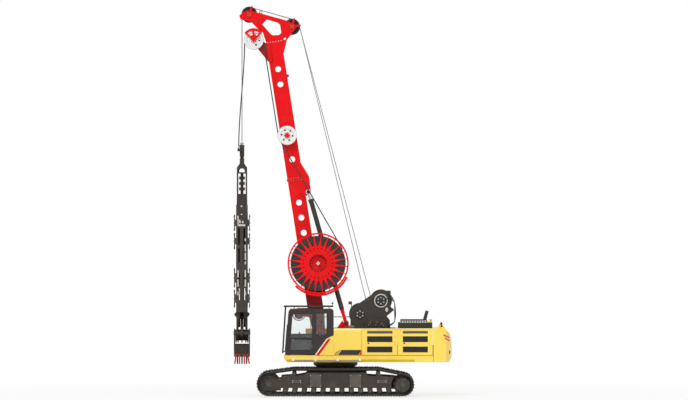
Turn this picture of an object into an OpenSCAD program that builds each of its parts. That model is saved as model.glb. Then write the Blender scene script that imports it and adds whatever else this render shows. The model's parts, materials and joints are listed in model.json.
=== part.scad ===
// Diaphragm wall grab: a crawler machine with a leaning boom, a two-drum winch and a rope-hung hydraulic grab.
// Millimetres, +Z up from the ground, front towards -X, left side (cab, hose reel) towards -Y.
// The origin is the middle of the machine's outline on the ground. Outlines are [x, z] or, in the grab, [y, z].

/* [Tracks] */
// Slewing axis, measured from the origin
slew_x = -300; // [-400:10:-200]
// Idler axis
idler_x = -2950; // [-3050:10:-2850]
// Outer radius of the track at the idler, over the lugs
idler_end_r = 500; // [480:5:520]
// Sprocket axis
sprocket_x = 2380; // [2300:10:2450]
// Outer radius of the track at the sprocket, over the lugs
sprocket_end_r = 470; // [455:5:480]
// Carrier roller axes, front and rear
carrier_xs = [-1948, 1408]; // [-2100:10:1600]
// Radius of a carrier roller
carrier_r = 80; // [70:2:84]
// Height of the top run, over the lugs
belt_top = 1140; // [1130:5:1170]
// Distance between the middles of the two tracks
track_gauge = 3500; // [3400:10:3700]
// Width of a track shoe
shoe_w = 800; // [700:10:840]
// Number of shoes on one track
shoe_count = 62; // [56:1:66]
// Thickness of a shoe
shoe_t = 22; // [18:1:24]
// Height of the bars on a shoe
lug_h = 30; // [24:1:32]
// Height of the chain links
link_h = 64; // [56:2:68]
// Width of one row of links
link_w = 60; // [50:2:64]
// Clear width between the two rows of links
link_clear = 140; // [130:2:150]
// Width of a track frame
frame_w = 520; // [500:10:560]
// Underside of a track frame
frame_z = 346; // [342:2:360]
// Top of a track frame at its middle
frame_top = 956; // [930:2:970]
// Number of bottom rollers on one track
roller_count = 12; // [9:1:12]
// First and last bottom roller
roller_ends = [-2296, 1832]; // [-2300:4:1840]
// Radius of a bottom roller
roller_r = 110; // [104:1:112]
// Radius of the final drive's drum
drive_r = 280; // [250:5:300]

/* [Car body] */
// Length of the car body's middle
car_l = 1460; // [1300:10:1560]
// Width of the car body's middle
car_w = 1520; // [1300:10:1700]
// Underside of the car body
car_z = 480; // [440:10:520]
// Top of the car body's box
car_top = 1128; // [1100:4:1140]
// Distance of a cross beam's middle from the slewing axis
beam_x = 790; // [740:5:820]
// Width of a cross beam
beam_w = 480; // [420:10:500]
// Top of the cross beams
beam_top = 900; // [860:5:930]
// Outer radius of the slewing ring
ring_r = 880; // [840:5:900]
// Inner radius of the slewing ring
ring_bore_r = 640; // [600:5:680]
// Underside of the slewing ring
ring_z = 1240; // [1220:5:1260]
// Radius of the bore in a lashing eye
lash_bore_r = 40; // [30:1:45]
// Thickness of a lashing eye
lash_t = 60; // [50:2:70]

/* [Upper works] */
// Underside of the deck
deck_z = 1364; // [1350:2:1380]
// Depth of the deck
deck_h = 272; // [240:2:300]
// Front tip of the deck
deck_front = -2348; // [-2400:4:-2300]
// Rear end of the deck and front face of the counterweight
deck_rear = 3588; // [3500:4:3650]
// Width of the upper works
house_w = 3000; // [2900:10:3060]
// Top of the bodywork
house_top = 2704; // [2660:4:2740]
// Thickness of the body panels
panel_t = 36; // [28:2:44]
// Length of the counterweight
tail_l = 764; // [700:4:820]
// Front edge of the first side door
door_x = 752; // [700:4:800]
// Joint between the two side doors
door_split_x = 2176; // [2100:4:2250]
// Gap round a side door
door_gap = 6; // [5:1:10]
// Length of the engine block
engine_l = 1700; // [1500:10:1800]
// Width of the engine block
engine_w = 900; // [800:10:1000]
// Height of the engine block
engine_h = 960; // [850:10:1000]
// Engine hood, front and rear ends
hood_xs = [2202, 3560]; // [2000:4:3580]
// Width of the engine hood
hood_w = 2300; // [2000:10:2500]
// Top of the engine hood
hood_top = 2928; // [2880:4:2980]
// Radius of the exhaust pipe
exhaust_r = 70; // [55:1:80]
// Half the distance between the two lifting eyes
eye_y = 950; // [800:10:1100]
// Height of the lifting eye's bore above the counterweight
eye_rise = 80; // [70:2:100]
// Radius of the lifting eye's bore
eye_bore_r = 40; // [30:1:45]
// Thickness of a lifting eye
eye_t = 60; // [50:2:70]

/* [Cab] */
// Left side of the cab
cab_left = -1500; // [-1510:5:-1490]
// Width of the cab
cab_w = 1020; // [980:10:1030]
// Thickness of the cab's walls
cab_wall = 60; // [50:2:70]
// Underside of the cab
cab_z = 1664; // [1650:2:1680]
// Top of the cab
cab_top = 3484; // [3450:2:3520]
// Front of the cab at its foot
cab_front = -2312; // [-2330:2:-2300]
// How far the windscreen leans back at its top
cab_rake = 152; // [120:2:180]
// Rear of the cab
cab_rear = -376; // [-390:2:-360]
// Thickness of the door
cab_door_t = 50; // [40:2:56]
// Thickness of the panes
pane_t = 8; // [6:1:12]
// Radius of the guard's tubes
guard_r = 20; // [16:1:26]

/* [Boom] */
// Boom foot pin
boom_foot = [-930, 2420]; // [-1000:5:2500]
// Lean of the boom towards the front, in degrees
boom_lean = 8.9; // [8:0.1:10]
// Depth of the boom, front to rear
boom_depth = 610; // [560:5:660]
// Width of the boom
boom_w = 640; // [600:5:680]
// Plate thickness of the boom
boom_plate = 20; // [16:1:30]
// Height of the joint between the two sections, along the boom
joint_s = 6308; // [6200:4:6400]
// Height of the head's joint, along the boom
head_s = 11860; // [11800:4:11900]
// Radius of the openings in the boom's sides
boom_hole_r = 120; // [100:2:140]
// Radius of the boom foot pin
foot_pin_r = 90; // [70:2:100]
// Front sheave axis on the boom, [behind the middle line, along the boom]
front_sheave = [-798, 13093]; // [-820:1:13120]
// Rear sheave axis on the boom
rear_sheave = [811, 12351]; // [790:1:12380]
// Outer radius of a sheave
sheave_r = 322; // [316:1:330]
// Radius of the rope's middle line on a sheave
rope_line_r = 296; // [290:1:300]
// Radius of a rope
rope_r = 16; // [12:1:18]
// Distance of a rope from the middle plane
rope_y = 150; // [130:2:170]
// Width of a sheave
sheave_w = 90; // [80:2:100]
// Radius of the sheave pins
sheave_pin_r = 70; // [60:2:80]

/* [Hoses] */
// Hose reel axis on the boom
reel_at = [383, 2847]; // [360:1:2870]
// Outer radius of the reel
reel_r = 1200; // [1150:5:1220]
// Radius of the wound hose
pack_r = 1100; // [1060:5:1120]
// Radius of the reel's plate
reel_plate_r = 660; // [600:5:700]
// Number of spokes
spoke_count = 24; // [18:2:28]
// Inner and outer side of the reel
reel_ys = [-680, -1060]; // [-1100:5:-660]
// Thickness of the reel's plates
reel_t = 24; // [16:1:30]
// Radius of the reel's hub
reel_hub_r = 360; // [330:5:380]
// Radius of the reel's axle
reel_axle_r = 90; // [80:2:100]
// Middle hose wheel on the boom
mid_wheel = [-51, 8089]; // [-60:1:8110]
// Radius of the middle hose wheel
mid_wheel_r = 385; // [370:1:400]
// Top hose wheel on the boom
top_wheel = [-776, 12069]; // [-790:1:12080]
// Radius of the top hose wheel
top_wheel_r = 400; // [390:1:410]
// Depth of the groove, rim to the hose's middle line
wheel_groove = 36; // [34:1:44]
// Distance of the middle wheel from the middle plane
mid_wheel_y = -560; // [-570:2:-540]
// Distance of the top wheel from the middle plane
top_wheel_y = -480; // [-500:2:-460]
// Width of a hose wheel
wheel_w = 150; // [140:2:160]
// Radius of a hose
hose_r = 22; // [18:1:24]
// Distance between the two hoses
hose_pitch = 50; // [48:1:54]

/* [Luffing cylinders] */
// Lower pin
cyl_low = [120, 2880]; // [100:2:2900]
// Upper pin on the boom
cyl_high = [440, 5721]; // [430:1:5740]
// Distance of a cylinder from the middle plane
cyl_y = 535; // [520:2:550]
// Radius of the barrel
barrel_r = 92; // [84:1:100]
// Radius of the rod
rod_r = 55; // [48:1:60]
// Length of rod that shows at rest
rod_show = 300; // [260:5:380]
// Width of the cylinder's eyes
cyl_eye_w = 100; // [90:2:110]
// Radius of the cylinder's eyes
cyl_eye_r = 105; // [95:1:115]
// Radius of the cylinder's pins
cyl_pin_r = 50; // [44:1:56]

/* [Winch] */
// Front drum axis
front_drum = [680, 3260]; // [660:2:3280]
// Rear drum axis
rear_drum = [1516, 3800]; // [1500:2:3820]
// Radius of the rope on a drum
drum_r = 345; // [330:1:360]
// Radius of the drum's flanges
drum_flange_r = 440; // [420:2:450]
// Half the distance between the winch plates
winch_y = 520; // [500:5:560]
// Thickness of the winch plates
winch_t = 40; // [30:2:50]
// Radius of the drum's shafts
drum_shaft_r = 110; // [90:2:130]

/* [Grab] */
// Top and bottom of the rope block
rope_block_zs = [9544, 10044]; // [9500:4:10100]
// Thickness of the grab's frame
grab_t = 440; // [400:4:480]
// Width of the grab's frame
grab_w = 2400; // [2200:10:2500]
// Bottom and top of the grab's frame
grab_zs = [3356, 7620]; // [3300:4:7700]
// Thickness over the guide plates
guide_t = 612; // [580:4:640]
// Thickness of the jaws
jaw_t = 628; // [600:4:640]
// Pin of a jaw, [from the middle, height]
jaw_pin = [420, 2560]; // [400:5:2600]
// Radius of the jaw pins
jaw_pin_r = 60; // [50:2:70]
// Lip of the closed jaws
jaw_lip_z = 1560; // [1540:5:1600]
// Tips of the teeth
tooth_tip_z = 1264; // [1250:2:1300]
// Plate thickness of a jaw
jaw_plate = 34; // [28:1:40]
// Link pin on the crosshead, [from the middle, height]
cross_pin = [170, 3150]; // [160:5:3200]
// Link pin on a jaw
jaw_link_pin = [880, 2500]; // [860:5:2520]
// Radius of the link pins
link_pin_r = 45; // [40:1:50]
// Radius of the jaw cylinder
jaw_cyl_r = 130; // [110:5:135]

/* [Hidden] */
$fn = 48;
// Clearance at pins, shafts and seats
fit_gap = 0.3;
// Clearance between pieces that pass each other
run_gap = 8;
half_gauge = track_gauge / 2;
half_shoe = shoe_w / 2;
half_frame = frame_w / 2;
half_house = house_w / 2;
deck_top = deck_z + deck_h;
belt_t = lug_h + shoe_t + link_h;
idler_z = idler_end_r;
sprocket_z = sprocket_end_r;
carrier_z = belt_top - belt_t - carrier_r;
roller_z = belt_t + roller_r;
roller_pitch = (roller_ends[1] - roller_ends[0]) / (roller_count - 1);
cab_right = cab_left + cab_w;
half_boom_d = boom_depth / 2;
half_boom_w = boom_w / 2;
hole_pitch = 612;
tail_x = deck_rear + tail_l;
// Lifting eye's middle, along the counterweight
eye_x_share = 0.4555;
eye_x = deck_rear + eye_x_share * tail_l;

// A point given along the boom, [behind the middle line, along the boom], in the machine's [x, z]
function boom_point(p) = [
    boom_foot[0] + p[0] * cos(boom_lean) - p[1] * sin(boom_lean),
    boom_foot[1] + p[0] * sin(boom_lean) + p[1] * cos(boom_lean)];
function on_circle(c, r, a) = [c[0] + r * cos(a), c[1] + r * sin(a)];
function arc_points(c, r, a, b, n) = [for (i = [0 : n]) on_circle(c, r, a + (b - a) * i / n)];
function outline_of(shares, x0, z0, l, h) = [for (s = shares) [x0 + s[0] * l, z0 + s[1] * h]];

// Angle of the outward normal of the straight line that touches two circles.
// A negative radius takes the other side of its circle.
function touch_angle(c1, r1, c2, r2) =
    let (d = c2 - c1)
    atan2(d[1], d[0]) - acos((r1 - r2) / norm(d));

front_sheave_at = boom_point(front_sheave);
rear_sheave_at = boom_point(rear_sheave);
grab_x = front_sheave_at[0] - rope_line_r;
cyl_high_at = boom_point(cyl_high);
cyl_v = cyl_high_at - cyl_low;
cyl_len = norm(cyl_v);
cyl_tilt = atan2(-cyl_v[0], cyl_v[1]);

// Shared shapes

// A flat [x, z] shape, drawn out along Y
module across(y0, y1) {
    translate([0, y1, 0]) rotate([90, 0, 0]) linear_extrude(y1 - y0) children();
}

// A flat [y, z] shape, drawn out along X
module along_x(x0, x1) {
    translate([x0, 0, 0]) rotate([90, 0, 90]) linear_extrude(x1 - x0) children();
}

module rod_y(at, r, y0, y1) {
    translate([at[0], y0, at[1]]) rotate([-90, 0, 0]) cylinder(r = r, h = y1 - y0);
}

module rod_x(at, r, x0, x1) {
    translate([x0, at[0], at[1]]) rotate([0, 90, 0]) cylinder(r = r, h = x1 - x0);
}

module rod_between(p, q, r) {
    v = q - p;
    translate(p) rotate([0, acos(v[2] / norm(v)), atan2(v[1], v[0])]) cylinder(r = r, h = norm(v));
}

module box(low, high) {
    translate(low) cube(high - low);
}

module both_sides() {
    children();
    mirror([0, 1, 0]) children();
}

module in_boom() {
    translate([boom_foot[0], 0, boom_foot[1]]) rotate([0, -boom_lean, 0]) children();
}

module in_cylinder() {
    translate([cyl_low[0], 0, cyl_low[1]]) rotate([0, -cyl_tilt, 0]) children();
}

module in_grab() {
    translate([grab_x, 0, 0]) children();
}

// Undercarriage

// The four circles that carry the chain, as [x, z, radius to the chain's middle line]
chain_circles = [
    [idler_x, idler_z, idler_end_r - belt_t + link_h / 2],
    [sprocket_x, sprocket_z, sprocket_end_r - belt_t + link_h / 2],
    [carrier_xs[1], carrier_z, carrier_r + link_h / 2],
    [carrier_xs[0], carrier_z, carrier_r + link_h / 2]];
chain_n = len(chain_circles);
function chain_at(i) = [chain_circles[i % chain_n][0], chain_circles[i % chain_n][1]];
function chain_r(i) = chain_circles[i % chain_n][2];
// Normal of the straight run from circle i to the next
function chain_normal(i) = touch_angle(chain_at(i), chain_r(i), chain_at(i + 1), chain_r(i + 1));
function chain_turn(i) = (chain_normal(i) - chain_normal(i + chain_n - 1) + 720) % 360;
function chain_run(i) = sqrt(pow(norm(chain_at(i + 1) - chain_at(i)), 2) - pow(chain_r(i) - chain_r(i + 1), 2));
function chain_arc(i) = chain_r(i) * chain_turn(i) * PI / 180;
// Length of the loop from its start to the end of circle i and its run
function chain_len(i) = i < 0 ? 0 : chain_len(i - 1) + chain_arc(i) + chain_run(i);
shoe_pitch = chain_len(chain_n - 1) / shoe_count;

// The point h outside the chain's middle line, s along the loop
function chain_point(s, h, i = 0) =
    s >= chain_len(i) && i < chain_n - 1 ? chain_point(s, h, i + 1) :
    let (
        into = s - chain_len(i - 1),
        start = chain_normal(i) - chain_turn(i),
        on_arc = into < chain_arc(i),
        a = on_arc ? start + chain_turn(i) * into / chain_arc(i) : chain_normal(i),
        p = on_circle(chain_at(i), chain_r(i) + h, a),
        run = on_arc ? 0 : into - chain_arc(i))
    [p[0] - run * sin(a), p[1] + run * cos(a)];

// Straight facets round circle i, and the radius of a wheel that they rest on
facet_turn = 15;
function chain_facets(i) = max(1, round(chain_turn(i) / facet_turn));
function chain_seat_r(i) = (chain_r(i) - link_h / 2) * cos(chain_turn(i) / chain_facets(i) / 2) - fit_gap;

// A plain ring h outside the chain's middle line
function chain_ring(h) = [for (i = [0 : chain_n - 1])
    let (
        n = chain_facets(i),
        start = chain_normal(i) - chain_turn(i))
    for (k = [0 : n]) on_circle(chain_at(i), chain_r(i) + h, start + chain_turn(i) * k / n)];

// One shoe's outer edge: share of the pitch along the chain, share of the lug's height
shoe_shares = [[0.04, 0], [0.16, 0], [0.2, 1], [0.28, 1], [0.32, 0], [0.68, 0], [0.72, 1], [0.8, 1], [0.84, 0],
    [0.96, 0]];

module track_loop() {
    plate_h = link_h / 2 + shoe_t;
    across(-half_shoe, half_shoe) difference() {
        polygon([for (i = [0 : shoe_count - 1]) for (s = shoe_shares)
            chain_point((i + s[0]) * shoe_pitch, plate_h + s[1] * lug_h)]);
        polygon(chain_ring(link_h / 2));
    }
    for (side = [-1, 1]) {
        middle = side * (link_clear + link_w) / 2;
        across(middle - link_w / 2, middle + link_w / 2) difference() {
            polygon(chain_ring(link_h / 2));
            polygon(chain_ring(-link_h / 2));
        }
    }
}

module tracks() {
    color("dimgray") both_sides() translate([0, half_gauge, 0]) track_loop();
}

module idlers() {
    rim_r = chain_seat_r(0);
    flange_w = link_clear - 2 * run_gap;
    color("dimgray") both_sides() translate([0, half_gauge, 0]) {
        rod_y([idler_x, idler_z], rim_r, -half_frame * 0.6, half_frame * 0.6);
        rod_y([idler_x, idler_z], rim_r + link_h / 2, -flange_w / 2, flange_w / 2);
        rod_y([idler_x, idler_z], drive_r / 4, -half_frame, half_frame);
    }
}

sprocket_teeth = 13;
module sprockets() {
    pitch_r = sprocket_end_r - belt_t + link_h / 2;
    wheel_y = (link_clear - 2 * run_gap) / 2;
    color("dimgray") both_sides() translate([0, half_gauge, 0]) {
        across(-wheel_y, wheel_y) translate([sprocket_x, sprocket_z])
            polygon([for (i = [0 : 4 * sprocket_teeth - 1])
                on_circle([0, 0], pitch_r + (i % 4 < 2 ? link_h / 3 : -link_h / 3), i * 90 / sprocket_teeth)]);
        rod_y([sprocket_x, sprocket_z], drive_r, -half_frame * 0.75, half_frame);
        rod_y([sprocket_x, sprocket_z], drive_r * 0.62, half_frame - fit_gap, half_frame + shoe_t);
        for (i = [0 : 11]) rod_y(on_circle([sprocket_x, sprocket_z], drive_r * 0.84, i * 30),
            shoe_t / 2, half_frame - fit_gap, half_frame + shoe_t / 2);
    }
}

function roller_x(i) = roller_ends[0] + i * roller_pitch;
roller_half_w = half_frame * 0.68;
roller_pin_r = roller_r * 0.32;

module bottom_rollers() {
    color("dimgray") both_sides() translate([0, half_gauge, 0]) for (i = [0 : roller_count - 1]) {
        rod_y([roller_x(i), roller_z], roller_r - fit_gap, -roller_half_w, roller_half_w);
        rod_y([roller_x(i), roller_z], roller_pin_r, -half_frame, half_frame);
    }
}

module carrier_rollers() {
    color("dimgray") both_sides() translate([0, half_gauge, 0]) for (i = [0, 1]) {
        rod_y([carrier_xs[i], carrier_z], chain_seat_r(3 - i), -roller_half_w, roller_half_w);
        rod_y([carrier_xs[i], carrier_z], roller_pin_r, -half_frame, half_frame);
    }
}

frame_len = sprocket_x - idler_x;
// Track frame's outline: share of the wheelbase from the idler, share of the frame's depth
frame_shares = [[0.08, 0], [0.915, 0], [0.955, 0.18], [0.96, 0.7], [0.84, 0.77], [0.79, 0.77], [0.735, 0.8],
    [0.73, 1], [0.286, 1], [0.27, 0.88], [0.21, 0.79], [0.174, 0.79], [0.09, 0.73], [0.088, 0.57], [0.08, 0.57]];
yoke_shares = [[-0.03, -0.16], [0.09, -0.16], [0.09, 0.57], [-0.03, 0.57]];

module roller_bracket(x) {
    across(-half_frame, half_frame) difference() {
        polygon([[x - roller_r * 0.9, frame_z], [x - roller_r / 2, roller_z - roller_r / 2],
            [x + roller_r / 2, roller_z - roller_r / 2], [x + roller_r * 0.9, frame_z]]);
        translate([x, roller_z]) circle(roller_pin_r + fit_gap);
    }
}

module carrier_bracket(x) {
    bottom = frame_z + 0.7 * (frame_top - frame_z);
    across(-half_frame, half_frame) difference() {
        polygon([[x - carrier_r * 1.2, bottom], [x + carrier_r * 1.2, bottom],
            [x + carrier_r * 0.8, carrier_z + carrier_r / 2], [x - carrier_r * 0.8, carrier_z + carrier_r / 2]]);
        translate([x, carrier_z]) circle(roller_pin_r + fit_gap);
    }
}

module track_frame() {
    depth = frame_top - frame_z;
    yoke_y = half_frame * 0.7;
    drive_y = -half_frame * 0.75;
    difference() {
        union() {
            across(-half_frame, half_frame) polygon(outline_of(frame_shares, idler_x, frame_z, frame_len, depth));
            across(-half_frame, half_frame) polygon(outline_of(yoke_shares, idler_x, frame_z, frame_len, depth));
            for (i = [0 : roller_count - 1]) roller_bracket(roller_x(i));
            for (x = carrier_xs) carrier_bracket(x);
        }
        // Slots for the idler, the rollers and the drive
        rod_y([idler_x, idler_z], idler_end_r - belt_t + link_h / 2 + 2 * run_gap, -yoke_y, yoke_y);
        rod_y([idler_x, idler_z], drive_r / 4 + fit_gap, -half_frame * 2, half_frame * 2);
        for (i = [0 : roller_count - 1])
            rod_y([roller_x(i), roller_z], roller_r + run_gap, -roller_half_w - run_gap, roller_half_w + run_gap);
        for (x = carrier_xs)
            rod_y([x, carrier_z], carrier_r + run_gap, -roller_half_w - run_gap, roller_half_w + run_gap);
        rod_y([sprocket_x, sprocket_z], sprocket_end_r - run_gap, drive_y, half_frame * 2);
    }
    // Flange that carries the final drive
    across(-half_frame, drive_y) polygon([[sprocket_x - frame_len * 0.1, sprocket_z - drive_r * 0.6],
        [sprocket_x + drive_r / 2, sprocket_z - drive_r * 0.6], [sprocket_x + drive_r * 0.8, sprocket_z],
        [sprocket_x + drive_r / 2, sprocket_z + drive_r * 0.6],
        [sprocket_x - frame_len * 0.1, sprocket_z + drive_r * 0.8]]);
    // Covers over the cross beams' ends
    for (side = [-1, 1]) box([slew_x + side * beam_x - beam_w / 2, half_frame, car_z - belt_t],
        [slew_x + side * beam_x + beam_w / 2, half_frame + shoe_t, beam_top]);
}

module track_frames() {
    color("dimgray") both_sides() translate([0, half_gauge, 0]) track_frame();
}

lash_r = lash_bore_r * 2.2;
lash_z = (car_z + beam_top) / 2;
module lashing_eye(x, out) {
    across(-lash_t / 2, lash_t / 2) difference() {
        union() {
            translate([x, lash_z]) circle(lash_r);
            translate([x, lash_z - lash_r]) mirror([out > 0 ? 1 : 0, 0]) square([2 * lash_r, 2 * lash_r]);
        }
        translate([x, lash_z]) circle(lash_bore_r);
    }
}

module car_body() {
    half_l = car_l / 2;
    color("dimgray") {
        box([slew_x - half_l, -car_w / 2, car_z], [slew_x + half_l, car_w / 2, car_top]);
        translate([slew_x, 0, car_top]) cylinder(r1 = half_l, r2 = ring_r, h = ring_z - car_top);
        for (side = [-1, 1]) box([slew_x + side * beam_x - beam_w / 2, half_frame - half_gauge, car_z],
            [slew_x + side * beam_x + beam_w / 2, half_gauge - half_frame, beam_top]);
        lashing_eye(slew_x - beam_x - beam_w / 2 - lash_r, -1);
        lashing_eye(slew_x + beam_x + beam_w / 2 + lash_r, 1);
    }
}

module slew_ring() {
    color("gray") translate([slew_x, 0, ring_z]) difference() {
        cylinder(r = ring_r, h = deck_z - ring_z - fit_gap);
        cylinder(r = ring_bore_r, h = deck_z);
    }
}

// Upper works

module deck_frame() {
    nose = deck_h / 2;
    wall = panel_t;
    color("gold") {
        difference() {
            across(-half_house, half_house) polygon([[deck_front + nose, deck_z], [deck_rear, deck_z],
                [deck_rear, deck_top], [deck_front, deck_top], [deck_front, deck_z + nose]]);
            for (side = [-1, 1]) {
                low = side < 0 ? -half_house + wall : ring_r;
                high = side < 0 ? -ring_r : half_house - wall;
                box([deck_front + 2 * nose, low, deck_z - nose], [deck_rear - wall, high, deck_top - wall]);
            }
            for (end = [[deck_front + 2 * nose, slew_x - ring_r - wall], [slew_x + ring_r + wall, deck_rear - wall]])
                box([end[0], wall - ring_r, deck_z - nose], [end[1], ring_r - wall, deck_top - wall]);
        }
    }
}

foot_plate_t = 60;
foot_lug_r = 220;
// Holes in a cylinder's plates, up from the deck: share of the pin's height, radius by share of the lug's
lug_hole_shares = [[0.2, 0.75], [0.46, 0.6], [0.7, 0.45]];
module boom_foot_bracket() {
    plate_y = half_boom_w + run_gap;
    lug_r = cyl_eye_r * 1.1;
    eye_y0 = cyl_y - cyl_eye_w / 2 - run_gap;
    eye_y1 = cyl_y + cyl_eye_w / 2 + run_gap;
    color("firebrick") both_sides() {
        across(plate_y, plate_y + foot_plate_t) difference() {
            union() {
                polygon([[boom_foot[0] - 3 * foot_lug_r, deck_top], [boom_foot[0] + 5 * foot_lug_r, deck_top],
                    [boom_foot[0] + foot_lug_r, boom_foot[1]], [boom_foot[0] - foot_lug_r, boom_foot[1]]]);
                translate(boom_foot) circle(foot_lug_r);
            }
            translate(boom_foot) circle(foot_pin_r + fit_gap);
        }
        for (y = [eye_y0 - winch_t, eye_y1]) across(y, y + winch_t) difference() {
            union() {
                polygon([[cyl_low[0] - 3.4 * lug_r, deck_top], [cyl_low[0] + 1.4 * lug_r, deck_top],
                    [cyl_low[0] + lug_r, cyl_low[1]], [cyl_low[0] - lug_r, cyl_low[1]]]);
                translate(cyl_low) circle(lug_r);
            }
            for (s = lug_hole_shares)
                translate([cyl_low[0] - (1 - s[0]) * lug_r, deck_top + s[0] * (cyl_low[1] - deck_top)])
                    circle(s[1] * lug_r);
        }
        rod_y(cyl_low, cyl_pin_r, eye_y0 - winch_t, eye_y1 + winch_t);
        // Spacer that ties a cylinder's two plates together
        box([cyl_low[0] - lug_r, eye_y0, deck_top], [cyl_low[0] + lug_r, eye_y1, deck_top + foot_lug_r]);
    }
    // Beam between the two foot plates
    color("firebrick") box([boom_foot[0] - foot_lug_r, -plate_y, deck_top],
        [boom_foot[0] + 3 * foot_lug_r, plate_y, deck_top + foot_lug_r / 2]);
}

// Cab: places by share of its length from the front and of its height
cab_l = cab_rear - cab_front;
cab_h = cab_top - cab_z;
function cab_x(share) = cab_front + share * cab_l;
function cab_at(share) = cab_z + share * cab_h;
brow_share = 0.9505;
nape_share = 0.956;
// Rear wall down to the floor: share of the length, of the height, and how a margin moves the two
rear_foot_shares = [[1, 0.422, -1, 0.5], [0.8512, 0.3516, -0.5, 1], [0.6033, 0, -0.5, 1]];
// Cab outline, set in by a margin
function cab_outline(in) = concat([
    [cab_front + in, cab_z + in],
    [cab_front + cab_rake * brow_share + in, cab_at(brow_share)],
    [cab_front + cab_rake + in + cab_wall, cab_top - in],
    [cab_rear - in - cab_wall, cab_top - in],
    [cab_rear - in, cab_at(nape_share)]],
    [for (f = rear_foot_shares) [cab_x(f[0]) + f[2] * in, cab_at(f[1]) + f[3] * in]]);
// Left window openings and the door, as [x, z] outlines that lean with the windscreen
function leaning(x0, x1, z0, z1) = [
    [x0 + cab_rake * (z0 - cab_z) / cab_h, z0], [x0 + cab_rake * (z1 - cab_z) / cab_h, z1], [x1, z1], [x1, z0]];
door_xs = [cab_x(0.0413), cab_x(0.57645)];
door_zs = [cab_at(0.0385), cab_at(0.9396)];
door_outline = leaning(door_xs[0], door_xs[1], door_zs[0], door_zs[1]);
door_hole = leaning(door_xs[0] - run_gap, door_xs[1] + run_gap, door_zs[0] - run_gap, door_zs[1] + run_gap);
door_window = leaning(cab_x(0.0775), cab_x(0.5558), cab_at(0.3714), cab_at(0.8923));
door_low_window = leaning(cab_x(0.0981), cab_x(0.5455), cab_at(0.0989), cab_at(0.3297));
rear_window_shares = [[0.6405, 0.4198], [0.6405, 0.8989], [0.8554, 0.8989], [0.8554, 0.4505], [0.8244, 0.4198]];
rear_window = outline_of(rear_window_shares, cab_front, cab_z, cab_l, cab_h);
right_window = leaning(cab_x(0.0878), cab_x(0.8554), cab_at(0.4505), cab_at(0.8989));
screen_ys = [cab_left + 1.5 * cab_wall, cab_right - 1.5 * cab_wall];
screen_zs = [cab_at(0.0824), cab_at(0.9066)];
back_window_zs = [cab_at(0.4945), cab_at(0.8989)];

module windscreen_shape() {
    translate([screen_ys[0], screen_zs[0]]) square([screen_ys[1] - screen_ys[0], screen_zs[1] - screen_zs[0]]);
}

// Rubber feet that the cab stands on
cab_foot_r = 70;
module cab_feet() {
    for (x = [cab_front, cab_x(rear_foot_shares[2][0]) - 4 * cab_foot_r]) for (y = [cab_left, cab_right - 4 * cab_foot_r])
        translate([x + 2 * cab_foot_r, y + 2 * cab_foot_r, deck_top + fit_gap])
            cylinder(r = cab_foot_r, h = cab_z - deck_top - fit_gap);
}

module cab_shell() {
    color("darkslategray") cab_feet();
    color("darkslategray") difference() {
        across(cab_left, cab_right) polygon(cab_outline(0));
        across(cab_left + cab_wall, cab_right - cab_wall) polygon(cab_outline(cab_wall));
        across(cab_left - cab_wall, cab_left + 2 * cab_wall) polygon(door_hole);
        across(cab_left - cab_wall, cab_left + 2 * cab_wall) polygon(rear_window);
        across(cab_right - 2 * cab_wall, cab_right + cab_wall) polygon(right_window);
        along_x(cab_front - cab_wall, cab_front + cab_rake + 3 * cab_wall) windscreen_shape();
        along_x(cab_rear - 2 * cab_wall, cab_rear + cab_wall) translate([screen_ys[0], back_window_zs[0]])
            square([screen_ys[1] - screen_ys[0], back_window_zs[1] - back_window_zs[0]]);
    }
}

module cab_glass() {
    mid = (cab_wall - pane_t) / 2;
    color("lightblue") {
        across(cab_left + mid, cab_left + mid + pane_t) polygon(rear_window);
        across(cab_right - mid - pane_t, cab_right - mid) polygon(right_window);
        intersection() {
            along_x(cab_front - cab_wall, cab_front + cab_rake + 3 * cab_wall) windscreen_shape();
            across(cab_left, cab_right) polygon([
                [cab_front + mid, cab_z], [cab_front + mid + pane_t, cab_z],
                [cab_front + cab_rake + mid + pane_t, cab_top], [cab_front + cab_rake + mid, cab_top]]);
        }
        along_x(cab_rear - mid - pane_t, cab_rear - mid) translate([screen_ys[0], back_window_zs[0]])
            square([screen_ys[1] - screen_ys[0], back_window_zs[1] - back_window_zs[0]]);
    }
}

seat_w = 520;
console_w = 100;
stick_r = 18;
post_w = 60;
display_w = 310;
// Side views of what stands in the cab: corners by share of its length and height
seat_base_shares = [[0.3698, 0.033], [0.5455, 0.2418]];
cushion_shares = [[0.2975, 0.2418], [0.5764, 0.3077]];
back_shares = [[0.5351, 0.3077], [0.5764, 0.3077], [0.6591, 0.7143], [0.6074, 0.7143]];
console_shares = [[0.2769, 0.2418], [0.5351, 0.3626]];
stick_shares = [[0.3182, 0.3571], [0.2975, 0.4725]];
post_corner_shares = [[0.1012, 0.033], [0.1322, 0.5275]];
display_shares = [[0.0909, 0.5165], [0.1116, 0.6484]];
handle_shares = [[0.1188, 0.3407], [0.2118, 0.3626]];
module cab_box(s, y0, y1) {
    box([cab_x(s[0][0]), y0, cab_at(s[0][1])], [cab_x(s[1][0]), y1, cab_at(s[1][1])]);
}

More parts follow.
